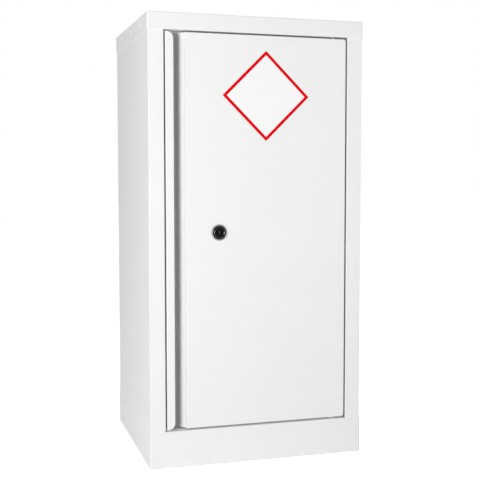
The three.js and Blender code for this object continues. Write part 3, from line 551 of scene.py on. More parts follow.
def jamb_coat(tree):
    """The coat of a side panel, with painted shade that darkens it in the narrow gap beside the
    door.
    """
    coat = bpy.context.scene.cabinet_coat
    edge = end_of("door_skin", "x", 1)
    face, back = span_of("door_skin", "y")
    across = tree.across()
    along = across.other("Y")
    # Painted shade on the jamb faces in the gap beside the door.
    painted_shade_depth = tree.rise(along, face + coat.gap_shade_from, face + coat.gap_shade_to)
    outward = tree.node("ShaderNodeMath", {"operation": "ABSOLUTE"}, {0: across})
    in_gap = tree.below(outward, edge + coat.gap)
    before_stop = tree.below(along, back)
    return coat_with_painted_shade(tree, painted_shade_depth * in_gap * before_stop, coat.gap_painted_shade)


def zinc_plate(tree):
    """Bright zinc with its crystals over brushed steel."""
    metal = bpy.context.scene.cabinet_metal
    crystal = tree.node(
        "ShaderNodeTexVoronoi",
        None,
        {"Vector": tree.here(), "Scale": 1 / metal.crystal, "Randomness": 1.0},
        "Color",
    )
    tone = tree.node("ShaderNodeRGBToBW", None, {"Color": crystal})
    brush = tree.noise(metal.crystal, FINE, BRUSHED_UP)
    spangle = tone * metal.crystal_share + brush * (1 - metal.crystal_share)
    return {
        "Base Color": tree.mix(spangle, opaque(metal.zinc), opaque(metal.zinc_dull)),
        "Metallic": 1.0,
        "Roughness": drifting(spangle, metal.zinc_roughness, metal.zinc_drift),
        "Normal": tree.bump(brush, metal.tool_mark_height),
    }


def nickel_plate(tree):
    """Nickel with the rings that turning leaves, which run round the lock's axis."""
    metal = bpy.context.scene.cabinet_metal
    centred = tree.node(
        "ShaderNodeMapping", None, {"Vector": tree.here(), "Location": -middle_of("lock_bezel")}
    )
    rings = tree.node(
        "ShaderNodeTexWave",
        {"wave_type": "RINGS", "rings_direction": "Y"},
        {
            "Vector": centred,
            "Scale": 1 / (metal.tool_mark * FULL_TURN),
            "Distortion": metal.tool_chatter,
        },
        "Fac",
    )
    marks = tree.noise(metal.handling)
    return {
        "Base Color": opaque(metal.nickel),
        "Metallic": 1.0,
        "Roughness": drifting(marks, metal.nickel_roughness, metal.nickel_drift),
        "Normal": tree.bump(rings, metal.tool_mark_height),
    }


def black_lacquer(tree, shine=None):
    """Black lacquer with smears and a little dust in it."""
    plastic = bpy.context.scene.cabinet_plastic
    smear = tree.noise(plastic.smear, FINE)
    mean = plastic.lacquer_roughness
    return {
        "Base Color": tree.mix(smear, opaque(plastic.lacquer), opaque(plastic.lacquer_worn)),
        "Roughness": drifting(smear, mean, mean / 2),
        "Specular IOR Level": plastic.lacquer_shine if shine is None else shine,
        "Normal": tree.bump(tree.noise(plastic.dust, SMOOTH), plastic.dust_height),
    }


def rubbed_lacquer(tree):
    """The same lacquer where keys rub it bright."""
    return black_lacquer(tree, bpy.context.scene.cabinet_plastic.rubbed_shine)


def black_rubber(tree):
    """Matte rubber with dust in its grain."""
    plastic = bpy.context.scene.cabinet_plastic
    grain = tree.noise(plastic.grain, FINE)
    return {
        "Base Color": tree.mix(grain, opaque(plastic.rubber), opaque(plastic.rubber_dusty)),
        "Roughness": drifting(grain, plastic.rubber_roughness, plastic.drift),
        "Normal": tree.bump(grain, plastic.grain_height),
    }


def nylon(tree):
    """Natural nylon with pale flow marks."""
    plastic = bpy.context.scene.cabinet_plastic
    flow = tree.noise(plastic.nylon_flow)
    return {
        "Base Color": tree.mix(flow, opaque(plastic.nylon), opaque(plastic.nylon_pale)),
        "Roughness": drifting(flow, plastic.nylon_roughness, plastic.drift),
        "Normal": tree.bump(tree.noise(plastic.grain), plastic.grain_height),
    }


def liner_plastic(tree):
    """Moulded plastic with milky flow marks."""
    plastic = bpy.context.scene.cabinet_plastic
    flow = tree.noise(plastic.liner_flow, FINE, FLOWED_UP)
    return {
        "Base Color": tree.mix(flow, opaque(plastic.liner), opaque(plastic.liner_milky)),
        "Roughness": drifting(flow, plastic.liner_roughness, plastic.drift),
        "Normal": tree.bump(tree.noise(plastic.grain), plastic.grain_height),
    }


def sign_paper(tree):
    """The white film inside the border."""
    sign = bpy.context.scene.cabinet_sign
    cloud = tree.noise(sign.cloud)
    return {
        "Base Color": tree.mix(cloud, opaque(sign.paper), opaque(sign.paper_shade)),
        "Roughness": drifting(cloud, sign.roughness, sign.drift),
        "Normal": tree.bump(tree.noise(sign.ripple, SMOOTH), sign.ripple_height),
    }


def sign_border(tree):
    """The red ink of the border."""
    sign = bpy.context.scene.cabinet_sign
    ink = tree.noise(sign.ink)
    return {
        "Base Color": tree.mix(ink, opaque(sign.red), opaque(sign.red_thin)),
        "Roughness": drifting(ink, sign.roughness, sign.drift),
        "Specular IOR Level": sign.ink_shine,
        "Normal": tree.bump(tree.noise(sign.ripple, SMOOTH), sign.ripple_height),
    }


SURFACES = {
    "powder_coat": powder_coat,
    "sealant": sealant,
    "channel_coat": channel_coat,
    "jamb_coat": jamb_coat,
    "zinc_plate": zinc_plate,
    "bright_steel": nickel_plate,
    "black_lacquer": black_lacquer,
    "rubbed_lacquer": rubbed_lacquer,
    "black_rubber": black_rubber,
    "nylon": nylon,
    "liner_plastic": liner_plastic,
    "sign_paper": sign_paper,
    "sign_border": sign_border,
}


def finish(name):
    """The named finish, made when it is first asked for."""
    made = bpy.data.materials.get("finish_" + name)
    return made or coated("finish_" + name, SURFACES[name])


# Placing pieces


def object_of(name, mesh, finishes):
    """An object at the origin whose shape is that mesh, shaded smooth and facing outwards."""
    bmesh.ops.recalc_face_normals(mesh, faces=mesh.faces)
    data = bpy.data.meshes.new(name)
    mesh.to_mesh(data)
    mesh.free()
    data.shade_smooth()
    for each in finishes:
        data.materials.append(finish(each))
    obj = bpy.data.objects.new(name, data)
    bpy.context.scene.collection.objects.link(obj)
    return obj


def eased_edges(obj, width=None):
    """Rounds an object's sharp edges, as a small part's by default, and keeps its flats even."""
    edges = bpy.context.scene.cabinet_edges
    rounding = obj.modifiers.new("edge_rounding", "BEVEL")
    rounding.width = width or edges.small_round
    rounding.segments = 2
    rounding.limit_method = "ANGLE"
    rounding.angle_limit = edges.sharp
    rounding.use_clamp_overlap = False
    flats = obj.modifiers.new("flat_shading", "WEIGHTED_NORMAL")
    flats.mode = "FACE_AREA"
    flats.keep_sharp = False


def made_plain(obj, modifier):
    """Gives an object the mesh that its one modifier makes, and takes the modifier off."""
    graph = bpy.context.evaluated_depsgraph_get()
    plain = bpy.data.meshes.new_from_object(obj.evaluated_get(graph))
    obj.modifiers.remove(modifier)
    obj.data = plain


def put(obj, nodes):
    """Makes an object stand for CAD nodes: it hides them and rides on their body."""
    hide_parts(*nodes)
    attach(obj, BODY_OF[nodes[0]])
    return obj


def add_on(obj, body):
    """Places a piece that stands for no CAD node."""
    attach(obj, body)


def refined(node, finish_name=None, width=None, join=None):
    """A copy of a node with its corners joined, its flats whole and its edges rounded."""
    edges = bpy.context.scene.cabinet_edges
    mesh = bmesh.new()
    mesh.from_mesh(frame["nodes"][node].data)
    bmesh.ops.remove_doubles(mesh, verts=mesh.verts, dist=join or edges.join)
    bmesh.ops.dissolve_limit(mesh, angle_limit=edges.flat, verts=mesh.verts, edges=mesh.edges)
    obj = object_of(node + "_finished", mesh, [finish_name or SLOT_OF[node]])
    eased_edges(obj, width or edges.sheet_round)
    put(obj, [node])


def middle_of(node):
    """The middle of a node's box."""
    low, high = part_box(node)
    return (low + high) / 2


def on_axis(node, axis):
    """The middle of a node's box, moved along one axis to zero."""
    centre = middle_of(node)
    centre["xyz".index(axis)] = 0
    return centre


def span_of(node, axis):
    """A node's lowest and highest place on an axis."""
    low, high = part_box(node)
    index = "xyz".index(axis)
    return low[index], high[index]


def end_of(node, axis, sign):
    """A node's highest place on an axis, or its lowest with a negative sign."""
    return span_of(node, axis)[1 if sign > 0 else 0]


# Shapes


def curve(start, corner, end, steps):
    """Points on the curve that rounds a corner, from one end of it to the other."""
    shares = [step / steps for step in range(steps + 1)]
    return [start * (1 - t) ** 2 + corner * (2 * t * (1 - t)) + end * t**2 for t in shares]


def eased(profile, steps=4):
    """Rounds the corners of a profile of (radius, along, easing)."""
    ring = profile[0][0] > ON_AXIS
    count = len(profile)
    points = []
    for i, (radius, along, ease) in enumerate(profile):
        corner = Vector((radius, along))
        inner = ring or 0 < i < count - 1
        if not inner or ease <= 0:
            points.append(corner)
            continue
        ends = []
        for neighbour in (profile[i - 1], profile[(i + 1) % count]):
            toward = Vector(neighbour[:2]) - corner
            reach = min(ease, toward.length * LONGEST_EASE_SHARE)
            ends.append(corner + toward.normalized() * reach)
        points += curve(ends[0], corner, ends[1], steps)
    return points


def around(loop):
    """Each corner of a loop with the corner after it."""
    return zip(loop, loop[1:] + loop[:1])


def band(mesh, low, high):
    """Joins two loops of as many corners by a ring of faces, and returns the faces."""
    return [mesh.faces.new((a, b, d, c)) for (a, b), (c, d) in zip(around(low), around(high))]


def turned(mesh, profile, axis, centre, facets, radius_at=None):
    """Adds a turned solid. A profile that starts off the axis is closed into a ring."""
    across, up = (UNIT[name] for name in ACROSS[axis])
    rings = []
    for radius, along in profile:
        middle = centre + UNIT[axis] * along
        if radius <= ON_AXIS:
            rings.append([mesh.verts.new(middle)])
            continue
        ring = []
        for facet in range(facets):
            turn = FULL_TURN * facet / facets
            reach = radius_at(radius, turn) if radius_at else radius
            spoke = across * math.cos(turn) + up * math.sin(turn)
            ring.append(mesh.verts.new(middle + spoke * reach))
        rings.append(ring)
    pairs = list(zip(rings, rings[1:]))
    if profile[0][0] > ON_AXIS:
        pairs.append((rings[-1], rings[0]))
    for low, high in pairs:
        for facet in range(facets):
            after = (facet + 1) % facets
            corners = [low[facet % len(low)], low[after % len(low)]]
            corners += [high[after % len(high)], high[facet % len(high)]]
            unique = list(dict.fromkeys(corners))
            if len(unique) > 2:
                mesh.faces.new(unique)


def turned_piece(node, axis, profile, facets):
    """One turned piece that stands for a node, centred on that node's box."""
    mesh = bmesh.new()
    turned(mesh, eased(profile), axis, on_axis(node, axis), facets)
    return put(object_of(node + "_turned", mesh, [SLOT_OF[node]]), [node])


def rounded_outline(low, high, radius, steps=6):
    """The points of a rounded rectangle, anticlockwise from its lower left corner."""
    (left, bottom), (right, top) = low, high
    corners = ((left, bottom, 2), (right, bottom, 3), (right, top, 0), (left, top, 1))
    points = []
    for x, y, quarter in corners:
        inward = Vector((1 if x == left else -1, 1 if y == bottom else -1))
        centre = Vector((x, y)) + inward * radius
        for step in range(steps + 1):
            turn = (quarter + step / steps) * math.pi / 2
            points.append(centre + Vector((math.cos(turn), math.sin(turn))) * radius)
    return points


def plate(mesh, outline, hole, front, back):
    """Adds a flat plate that faces -Y, cut to an outline of (x, z) and pierced by a hole."""
    loops = []
    for points in (outline, hole):
        loops.append(
            [[mesh.verts.new((p.x, level, p.y)) for p in points] for level in (front, back)]
        )
    edges = [mesh.edges.new(pair) for near, _ in loops for pair in around(near)]
    filled = bmesh.ops.triangle_fill(mesh, edges=edges, use_beauty=True)
    behind = {a: b for near, far in loops for a, b in zip(near, far)}
    for face in [f for f in filled["geom"] if isinstance(f, bmesh.types.BMFace)]:
        mesh.faces.new([behind[v] for v in reversed(face.verts)])
    for near, far in loops:
        band(mesh, near, far)


def box_solid(mesh, low, high):
    """Adds a block between two corners."""
    middle = (Vector(low) + Vector(high)) / 2
    extent = Vector(high) - Vector(low)
    scale = Matrix.Translation(middle) @ Matrix.Diagonal((*extent, 1))
    bmesh.ops.create_cube(mesh, size=1, matrix=scale)


# Repeated features


def grid_tree():
    """A geometry tree that repeats its input along a line, and that line along a second one."""
    name = "repeat_on_a_grid"
    if name in bpy.data.node_groups:
        return bpy.data.node_groups[name]
    group = bpy.data.node_groups.new(name, "GeometryNodeTree")
    sockets = (
        ("Geometry", "NodeSocketGeometry"),
        ("Count", "NodeSocketInt"),
        ("Step", "NodeSocketVector"),
        ("Rows", "NodeSocketInt"),
        ("Row Step", "NodeSocketVector"),
        ("Weld", "NodeSocketFloat"),
        ("Finish", "NodeSocketMaterial"),
    )
    for socket, kind in sockets:
        group.interface.new_socket(socket, in_out="INPUT", socket_type=kind)
    group.interface.new_socket("Geometry", in_out="OUTPUT", socket_type="NodeSocketGeometry")
    tree = Tree(group)
    given = tree.node("NodeGroupInput", output="Geometry")
    shape = given
    for count, step in (("Count", "Step"), ("Rows", "Row Step")):
        line = tree.node(
            "GeometryNodeMeshLine",
            {"mode": "OFFSET"},
            {"Count": given.other(count), "Offset": given.other(step)},
        )
        shape = tree.node(
            "GeometryNodeInstanceOnPoints", None, {"Points": line, "Instance": shape}
        )
    whole = tree.node("GeometryNodeRealizeInstances", None, {"Geometry": shape})
    joined = tree.node(
        "GeometryNodeMergeByDistance",
        None,
        {"Geometry": whole, "Distance": given.other("Weld")},
    )
    made = tree.node(
        "GeometryNodeSetMaterial", None, {"Geometry": joined, "Material": given.other("Finish")}
    )
    tree.node("NodeGroupOutput", None, {"Geometry": made})
    return group


def repeated(obj, finish_name, count, step, rows=1, row_step=(0, 0, 0)):
    """Repeats an object's own mesh on a grid and leaves a plain, smooth mesh."""
    group = grid_tree()
    values = {
        "Count": count,
        "Step": tuple(step),
        "Rows": rows,
        "Row Step": tuple(row_step),
        "Weld": bpy.context.scene.cabinet_edges.join,
        "Finish": finish(finish_name),
    }
    repeat = obj.modifiers.new("repeat", "NODES")
    repeat.node_group = group
    for item in group.interface.items_tree:
        if item.in_out == "INPUT" and item.name in values:
            repeat[item.identifier] = values[item.name]
    made_plain(obj, repeat)
    obj.data.shade_smooth()


# Pieces


class CABINET_OT_carcass(bpy.types.Operator):
    """Make the folded side panels and the back panel, with the welds in their rear flanges"""

    bl_idname = "cabinet.carcass"
    bl_label = "Carcass"

    def execute(self, context):
        rivets = context.scene.cabinet_rivets
        for side in SIDES:
            # The side panels take a coat with painted shade in the gap beside the door.
            refined("side_panel_" + side, "jamb_coat")
        refined("back_panel")
        rear = end_of("side_panel_left", "y", 1)
        low = end_of("base_tray", "z", 1) + rivets.weld_margin
        high = end_of("top_cap", "z", -1) - rivets.weld_margin
        step = (high - low) / (rivets.back_welds - 1)
        for side, sign in SIDES.items():
            outer = end_of("side_panel_" + side, "x", sign)
            inner = end_of("back_panel", "x", sign)
            at = Vector(((outer + inner) / 2 - sign * rivets.weld_inset, rear, low))
            marks = weld_mark("back_welds_" + side, at, rivets)
            repeated(marks, "powder_coat", rivets.back_welds, (0, 0, step))
            add_on(marks, "cabinet")
        return {"FINISHED"}


def weld_mark(name, at, rivets):
    """One spot weld's shallow ring on a surface that faces +Y."""
    radius, rise = rivets.weld, rivets.weld_rise
    crown, dish, ease = radius * 0.8, radius * 0.5, radius * 0.1
    floor = rise * 0.2
    profile = [
        (0, -rise, 0),
        (radius, -rise, 0),
        (radius, 0, 0),
        (crown, rise, ease),
        (dish, floor, ease),
        (0, floor, 0),
    ]
    mesh = bmesh.new()
    turned(mesh, eased(profile, steps=2), "y", at, WELD_FACETS)
    return object_of(name, mesh, ["powder_coat"])


class CABINET_OT_cap_and_base(bpy.types.Operator):
    """Make the cap and the base tray that wrap round the carcass"""

    bl_idname = "cabinet.cap_and_base"
    bl_label = "Cap and base"

    def execute(self, context):
        refined("top_cap")
        refined("base_tray")
        return {"FINISHED"}


class CABINET_OT_beads(bpy.types.Operator):
    """Make the beads that close the joints under the cap and over the base"""

    bl_idname = "cabinet.beads"
    bl_label = "Joint beads"

    def execute(self, context):
        coat = context.scene.cabinet_coat
        finishes = ["powder_coat", "sealant"]
        mesh = bmesh.new()
        # The base's side beads take the whiter filler, painted light that lifts their shade.
        for node, up, filler in (("base_tray", 1, "sealant"), ("top_cap", -1, "powder_coat")):
            level = end_of(node, "z", up)
            for side, sign in SIDES.items():
                wall = end_of("side_panel_" + side, "x", sign)
                front, back = span_of("side_panel_" + side, "y")
                ends = [Vector((wall, y, level)) for y in (front + coat.fold, back - coat.fold)]
                self.bead(mesh, ends, UNIT["x"] * sign, up, coat, finishes.index(filler))
                inward = [coat.fold, coat.stile - coat.fold]
                ends = [Vector((wall - sign * x, front, level)) for x in inward]
                self.bead(mesh, ends, -UNIT["y"], up, coat)
        beads = object_of("joint_beads", mesh, finishes)
        beads.data.shade_flat()
        add_on(beads, "cabinet")
        return {"FINISHED"}

    def bead(self, mesh, ends, out, up, coat, filler=0):
        """A steep bar in the corner between a wall and the ledge beside it."""
        width, reach, sink = coat.bead, coat.bead_reach, coat.bead_sink
        inside = -sink / 2
        section = [(inside, -sink), (width, -sink), (width, 0), (0, reach), (inside, reach)]
        rings = []
        for end in ends:
            corners = [end + out * a + UNIT["z"] * (up * b) for a, b in section]
            rings.append([mesh.verts.new(corner) for corner in corners])
        faces = [mesh.faces.new(ring) for ring in rings] + band(mesh, *rings)
        for face in faces:
            face.material_index = filler


class CABINET_OT_rivets(bpy.types.Operator):
    """Make the painted blind rivets of the cap and the base"""

    bl_idname = "cabinet.rivets"
    bl_label = "Rivets"

    def execute(self, context):
        rivets = context.scene.cabinet_rivets
        holders = ("base", "cap")
        for side, sign in SIDES.items():
            nodes = [n for n in frame["nodes"] if n.startswith("rivet_") and n.endswith(side)]
            a_row = len(nodes) // len(holders)
            first = middle_of("rivet_base_front_" + side)
            along = middle_of("rivet_base_middle_" + side) - first
            above = middle_of("rivet_cap_front_" + side) - first
            profile = self.profile("rivet_base_front_" + side, sign, rivets)
            mesh = bmesh.new()
            centre = Vector((0, first.y, first.z))
            turned(mesh, eased(profile, steps=3), "x", centre, RIVET_FACETS)
            obj = object_of("rivets_" + side, mesh, ["powder_coat"])
            repeated(obj, "powder_coat", a_row, along, rows=len(holders), row_step=above)
            put(obj, sorted(nodes))
        return {"FINISHED"}

    def profile(self, node, sign, rivets):
        """A rivet's half section from its swelled tail to the dimple in its domed head."""
        tip, tail = end_of(node, "x", sign), end_of(node, "x", -sign)
        seat = tip - sign * rivets.rise
        inside = tail + sign * rivets.tail_length
        floor = tip - sign * rivets.eye_depth
        dome = [(rivets.head * wide, seat + sign * rivets.rise * up, 0) for wide, up in DOME_SHARES]
        return [
            (0, tail, 0),
            (rivets.tail, tail, rivets.shank / 2),
            (rivets.tail, inside, rivets.ease),
            (rivets.shank, inside, 0),
            (rivets.shank, seat, 0),
            (rivets.head, seat, 0),
            *dome,
            (rivets.eye, tip, rivets.ease),
            (rivets.eye_floor, floor, rivets.ease),
            (0, floor, 0),
        ]


class CABINET_OT_door(bpy.types.Operator):
    """Make the door's folded skin and its welded stiffener"""

    bl_idname = "cabinet.door"
    bl_label = "Door"

    def execute(self, context):
        rivets = context.scene.cabinet_rivets
        # The door's coat has painted shade deep in its channel pull.
        refined("door_skin", "channel_coat", join=context.scene.cabinet_edges.door_join)
        refined("door_stiffener")
        low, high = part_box("door_stiffener")
        inset = rivets.flange / 2
        at = Vector((low.x + inset, low.y + rivets.sheet, low.z + rivets.weld_margin))
        step = (high.z - low.z - 2 * rivets.weld_margin) / (rivets.door_welds - 1)
        marks = weld_mark("stiffener_welds", at, rivets)
        apart = (high.x - low.x - 2 * inset, 0, 0)
        repeated(marks, "powder_coat", rivets.door_welds, (0, 0, step), rows=2, row_step=apart)
        add_on(marks, "door")
        return {"FINISHED"}


class CABINET_OT_sign(bpy.types.Operator):
    """Make the blank diamond with its red border"""

    bl_idname = "cabinet.sign"
    bl_label = "Sign"

    def execute(self, context):
        sign = context.scene.cabinet_sign
        behind = end_of("door_skin", "y", -1)
        front = behind - sign.film
        inner_half = sign.half - sign.border * math.sqrt(2)
        mesh = bmesh.new()
        loops = []
        for half, radius, level in (
            (sign.half, sign.corner, behind),
            (sign.half, sign.corner, front),
            (inner_half, 0, front),
        ):
            centre = Vector((sign.middle_x, level, sign.middle_z))
            loops.append([mesh.verts.new(centre + point) for point in diamond(half, radius)])
        for outer, inner in zip(loops, loops[1:]):
            for face in band(mesh, outer, inner):
                face.material_index = 1
        mesh.faces.new(loops[-1])
        mesh.faces.new(loops[0][::-1])
        obj = object_of("sign_film", mesh, ["sign_paper", "sign_border"])
        obj.data.shade_flat()
        add_on(obj, "door")
        return {"FINISHED"}


def diamond(half, radius, steps=5):
    """The points of a diamond in the plane of the door, its corners rounded."""
    turns = ((1, 0), (0, 1), (-1, 0), (0, -1))
    corners = [Vector((x * half, 0, z * half)) for x, z in turns]
    points = []
    for i, corner in enumerate(corners):
        ends = []
        for neighbour in (corners[i - 1], corners[(i + 1) % len(corners)]):
            ends.append(corner + (neighbour - corner).normalized() * radius)
        points += curve(ends[0], corner, ends[1], steps)
    return points


class CABINET_OT_lock(bpy.types.Operator):
    """Make the lock's bezel, its black head, its plug with the keyway, and its nut"""

    bl_idname = "cabinet.lock"
    bl_label = "Lock"

    def execute(self, context):
        lock = context.scene.cabinet_lock
        self.bezel(lock)
        self.housing(lock)
        self.plug(lock)
        self.nut(lock)
        return {"FINISHED"}

    def bezel(self, lock):
        """The bright ring round the head, with a well rounded front."""
        front, face = span_of("lock_bezel", "y")
        left, right = span_of("lock_bezel", "x")
        radius = (right - left) / 2
        recess = lock.head + lock.fit
        bore = lock.barrel + lock.fit
        seat = end_of("lock_housing", "y", -1) + lock.head_height + lock.fit
        width = radius - recess
        profile = [
            (bore, face, 0),
            (radius, face, 0),
            (radius, front, width * lock.bezel_round),
            (recess, front, width / 4),
            (recess, seat, 0),
            (bore, seat, 0),
        ]
        mesh = bmesh.new()
        turned(mesh, eased(profile, steps=6), "y", on_axis("lock_bezel", "y"), LOCK_FACETS)
        eased_edges(put(object_of("lock_bezel_turned", mesh, ["bright_steel"]), ["lock_bezel"]))

    def housing(self, lock):
        """The black head with its rubbed ridge, on a threaded barrel."""
        front, back = span_of("lock_housing", "y")
        bore = lock.plug_body + lock.fit
        counterbore = lock.plug + lock.fit
        seat = front + lock.head_height
        face = front + lock.ridge_height
        step = front + lock.plug_height + lock.head_height / 2
        crest, foot = lock.ridge_crest, lock.ridge_crest + lock.ridge_slope
        blend = crest * 2
        profile = [(bore, back, 0), (lock.barrel, back, lock.fit)]
        for turn in range(int((back - seat) / lock.thread) - 1):
            along = back - (turn + 0.5) * lock.thread
            profile.append((lock.barrel, along, 0))
            profile.append((lock.barrel - lock.thread_depth, along - lock.thread / 2, 0))
        profile += [
            (lock.barrel, seat, 0),
            (lock.head, seat, 0),
            (lock.head, face, lock.rim),
            (lock.ridge + foot, face, blend),
            (lock.ridge + crest, front, crest),
            (lock.ridge - crest, front, crest),
            (lock.ridge - foot, face, blend),
            (counterbore, face, 0),
            (counterbore, step, 0),
            (bore, step, 0),
        ]
        mesh = bmesh.new()
        centre = on_axis("lock_housing", "y")
        turned(mesh, eased(profile, steps=5), "y", centre, LOCK_FACETS)
        finishes = ["black_lacquer", "rubbed_lacquer"]
        obj = put(object_of("lock_housing_turned", mesh, finishes), ["lock_housing"])
        for polygon in obj.data.polygons:
            across = polygon.center - centre
            off = abs(math.hypot(across.x, across.z) - lock.ridge)
            if off < foot and polygon.center.y < face:
                polygon.material_index = 1
        eased_edges(obj, bpy.context.scene.cabinet_edges.fine_round)

    def plug(self, lock):
        """The black plug with its keyway, and the square behind it that carries the cam."""
        front, back = span_of("lock_plug", "y")
        barrel_end = end_of("lock_housing", "y", 1)
        centre = on_axis("lock_plug", "y")
        behind = front + lock.plug_height
        face = front + lock.plug_sunk
        profile = [
            (0, face, 0),
            (lock.plug, face, lock.fit),
            (lock.plug, behind, 0),
            (lock.plug_body, behind, 0),
            (lock.plug_body, barrel_end, lock.fit),
            (0, barrel_end, 0),
        ]
        mesh = bmesh.new()
        turned(mesh, eased(profile), "y", centre, LOCK_FACETS)
        finishes = ["black_lacquer", "bright_steel"]
        obj = object_of("lock_plug_turned", mesh, finishes)
        carve(obj, self.keyway(lock, centre, front, finishes))
        tail = bmesh.new()
        tail.from_mesh(obj.data)
        side = lock.tail / 2
        box_solid(
            tail,
            (centre.x - side, barrel_end - lock.plug_height, centre.z - side),
            (centre.x + side, back, centre.z + side),
        )
        tail.to_mesh(obj.data)
        tail.free()
        eased_edges(obj)
        put(obj, ["lock_plug"])

    def keyway(self, lock, centre, front, finishes):
        """The shape to cut from the plug, whose walls leave the second finish in the cut."""
        half, reach = lock.keyway / 2, lock.keyway_height / 2
        low, high = (centre.x - half, centre.z - reach), (centre.x + half, centre.z + reach)
        outline = rounded_outline(low, high, half * lock.keyway_round)
        mesh = bmesh.new()
        ends = []
        for level in (front - lock.keyway_depth, front + lock.keyway_depth):
            ends.append([mesh.verts.new((p.x, level, p.y)) for p in outline])
            mesh.faces.new(ends[-1])
        band(mesh, *ends)
        cutter = object_of("keyway_cutter", mesh, finishes)
        for polygon in cutter.data.polygons:
            polygon.material_index = 1
        return cutter

    def nut(self, lock):
        """The hexagon nut behind the door, chamfered at both ends."""
        near, far = span_of("lock_nut", "y")
        low, high = span_of("lock_nut", "z")
        corner = (high - low) / 2
        flat_turn = FULL_TURN / lock.nut_flats
        apothem = corner * math.cos(flat_turn / 2)
        shoulder = apothem * CHAMFER_START
        bore = lock.barrel + lock.fit

        def hexagon(radius, turn):
            """A radius, held back where it would pass a flat."""
            if radius < apothem:
                return radius
            off = (turn + flat_turn / 2) % flat_turn - flat_turn / 2
            return min(radius, apothem / math.cos(flat_turn / 2 - abs(off)))

        chamfer, bore_chamfer = lock.nut_chamfer, lock.nut_chamfer / 2
        profile = [
            (bore, near + bore_chamfer),
            (bore + bore_chamfer, near),
            (shoulder, near),
            (corner, near + chamfer),
            (corner, far - chamfer),
            (shoulder, far),
            (bore + bore_chamfer, far),
            (bore, far - bore_chamfer),
        ]
        mesh = bmesh.new()
        turned(mesh, profile, "y", on_axis("lock_nut", "y"), LOCK_FACETS, hexagon)
        obj = object_of("lock_nut_turned", mesh, ["zinc_plate"])
        eased_edges(obj)
        put(obj, ["lock_nut"])


def carve(obj, cutter):
    """Cuts one object's shape out of another and leaves a plain mesh."""
    cut = obj.modifiers.new("cut", "BOOLEAN")
    cut.operation = "DIFFERENCE"
    cut.solver = "EXACT"
    cut.object = cutter
    made_plain(obj, cut)
    bpy.data.objects.remove(cutter)


class CABINET_OT_lock_drive(bpy.types.Operator):
    """Make the cam, its screw, the two rods with their yokes, the guides and the rod bushes"""

    bl_idname = "cabinet.lock_drive"
    bl_label = "Lock drive"

    def execute(self, context):
        edges, rods = context.scene.cabinet_edges, context.scene.cabinet_rods
        for node in ("lock_cam", "cam_screw", "rod_guide_upper", "rod_guide_lower"):
            refined(node, width=edges.small_round)
        self.rod("rod_upper", 1, rods)
        self.rod("rod_lower", -1, rods)
        self.rod_bush("rod_bush_top", 1, rods)
        self.rod_bush("rod_bush_bottom", -1, rods)
        return {"FINISHED"}

    def rod(self, node, upward, rods):
        """A round bar with a flat shank and a slotted yoke at its inner end."""
        low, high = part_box(node)
        centre = (low + high) / 2
        start, tip = end_of(node, "z", -upward), end_of(node, "z", upward)
        yoke_end = start + upward * rods.yoke_height
        yoke_middle = (start + yoke_end) / 2
        bar_start = yoke_middle + upward * rods.shank_length
        front, back = centre.y - rods.yoke / 2, centre.y + rods.yoke / 2
        rim = rods.yoke_rim
        outline = rounded_outline(
            (low.x, min(start, yoke_end)), (high.x, max(start, yoke_end)), rim
        )
        slot_half = rods.yoke_height / 2 - rim
        slot = rounded_outline(
            (low.x + rim, yoke_middle - slot_half),
            (high.x - rim, yoke_middle + slot_half),
            slot_half * rods.slot_round,
        )
        mesh = bmesh.new()
        plate(mesh, outline, slot, front, back)
        half = rods.shank / 2
        root = yoke_end - upward * rim / 2
        end = bar_start + upward * rods.sink
        box_solid(
            mesh,
            (centre.x - half, front, min(root, end)),
            (centre.x + half, back, max(root, end)),
        )
        point, ease = rods.rod / 2, rods.rod / 4
        profile = [
            (0, bar_start, 0),
            (rods.rod, bar_start, ease),
            (rods.rod, tip - upward * point, ease),
            (point, tip, ease),
            (0, tip, 0),
        ]
        turned(mesh, eased(profile), "z", Vector((centre.x, centre.y, 0)), ROD_FACETS)
        obj = object_of(node + "_turned", mesh, ["zinc_plate"])
        eased_edges(obj)
        put(obj, [node])

    def rod_bush(self, node, upward, rods):
        """The nylon bush that a rod runs through in the door's edge."""
        edge, end = end_of(node, "z", upward), end_of(node, "z", -upward)
        left, right = span_of(node, "x")
        widest = (right - left) / 2
        bore = rods.rod + rods.bush_fit
        outside = bore + rods.bush_wall
        flange = edge - upward * rods.bush_sunk
        inner = flange - upward * rods.bush_flange
        ease = rods.bush_wall / 4
        profile = [
            (bore, edge, ease),
            (outside, edge, ease),
            (outside, flange, 0),
            (widest, flange, ease),
            (widest, inner, ease),
            (outside, inner, ease),
            (outside, end, ease),
            (bore, end, ease),
        ]
        obj = turned_piece(node, "z", profile, PIVOT_FACETS)
        eased_edges(obj, bpy.context.scene.cabinet_edges.fine_round)


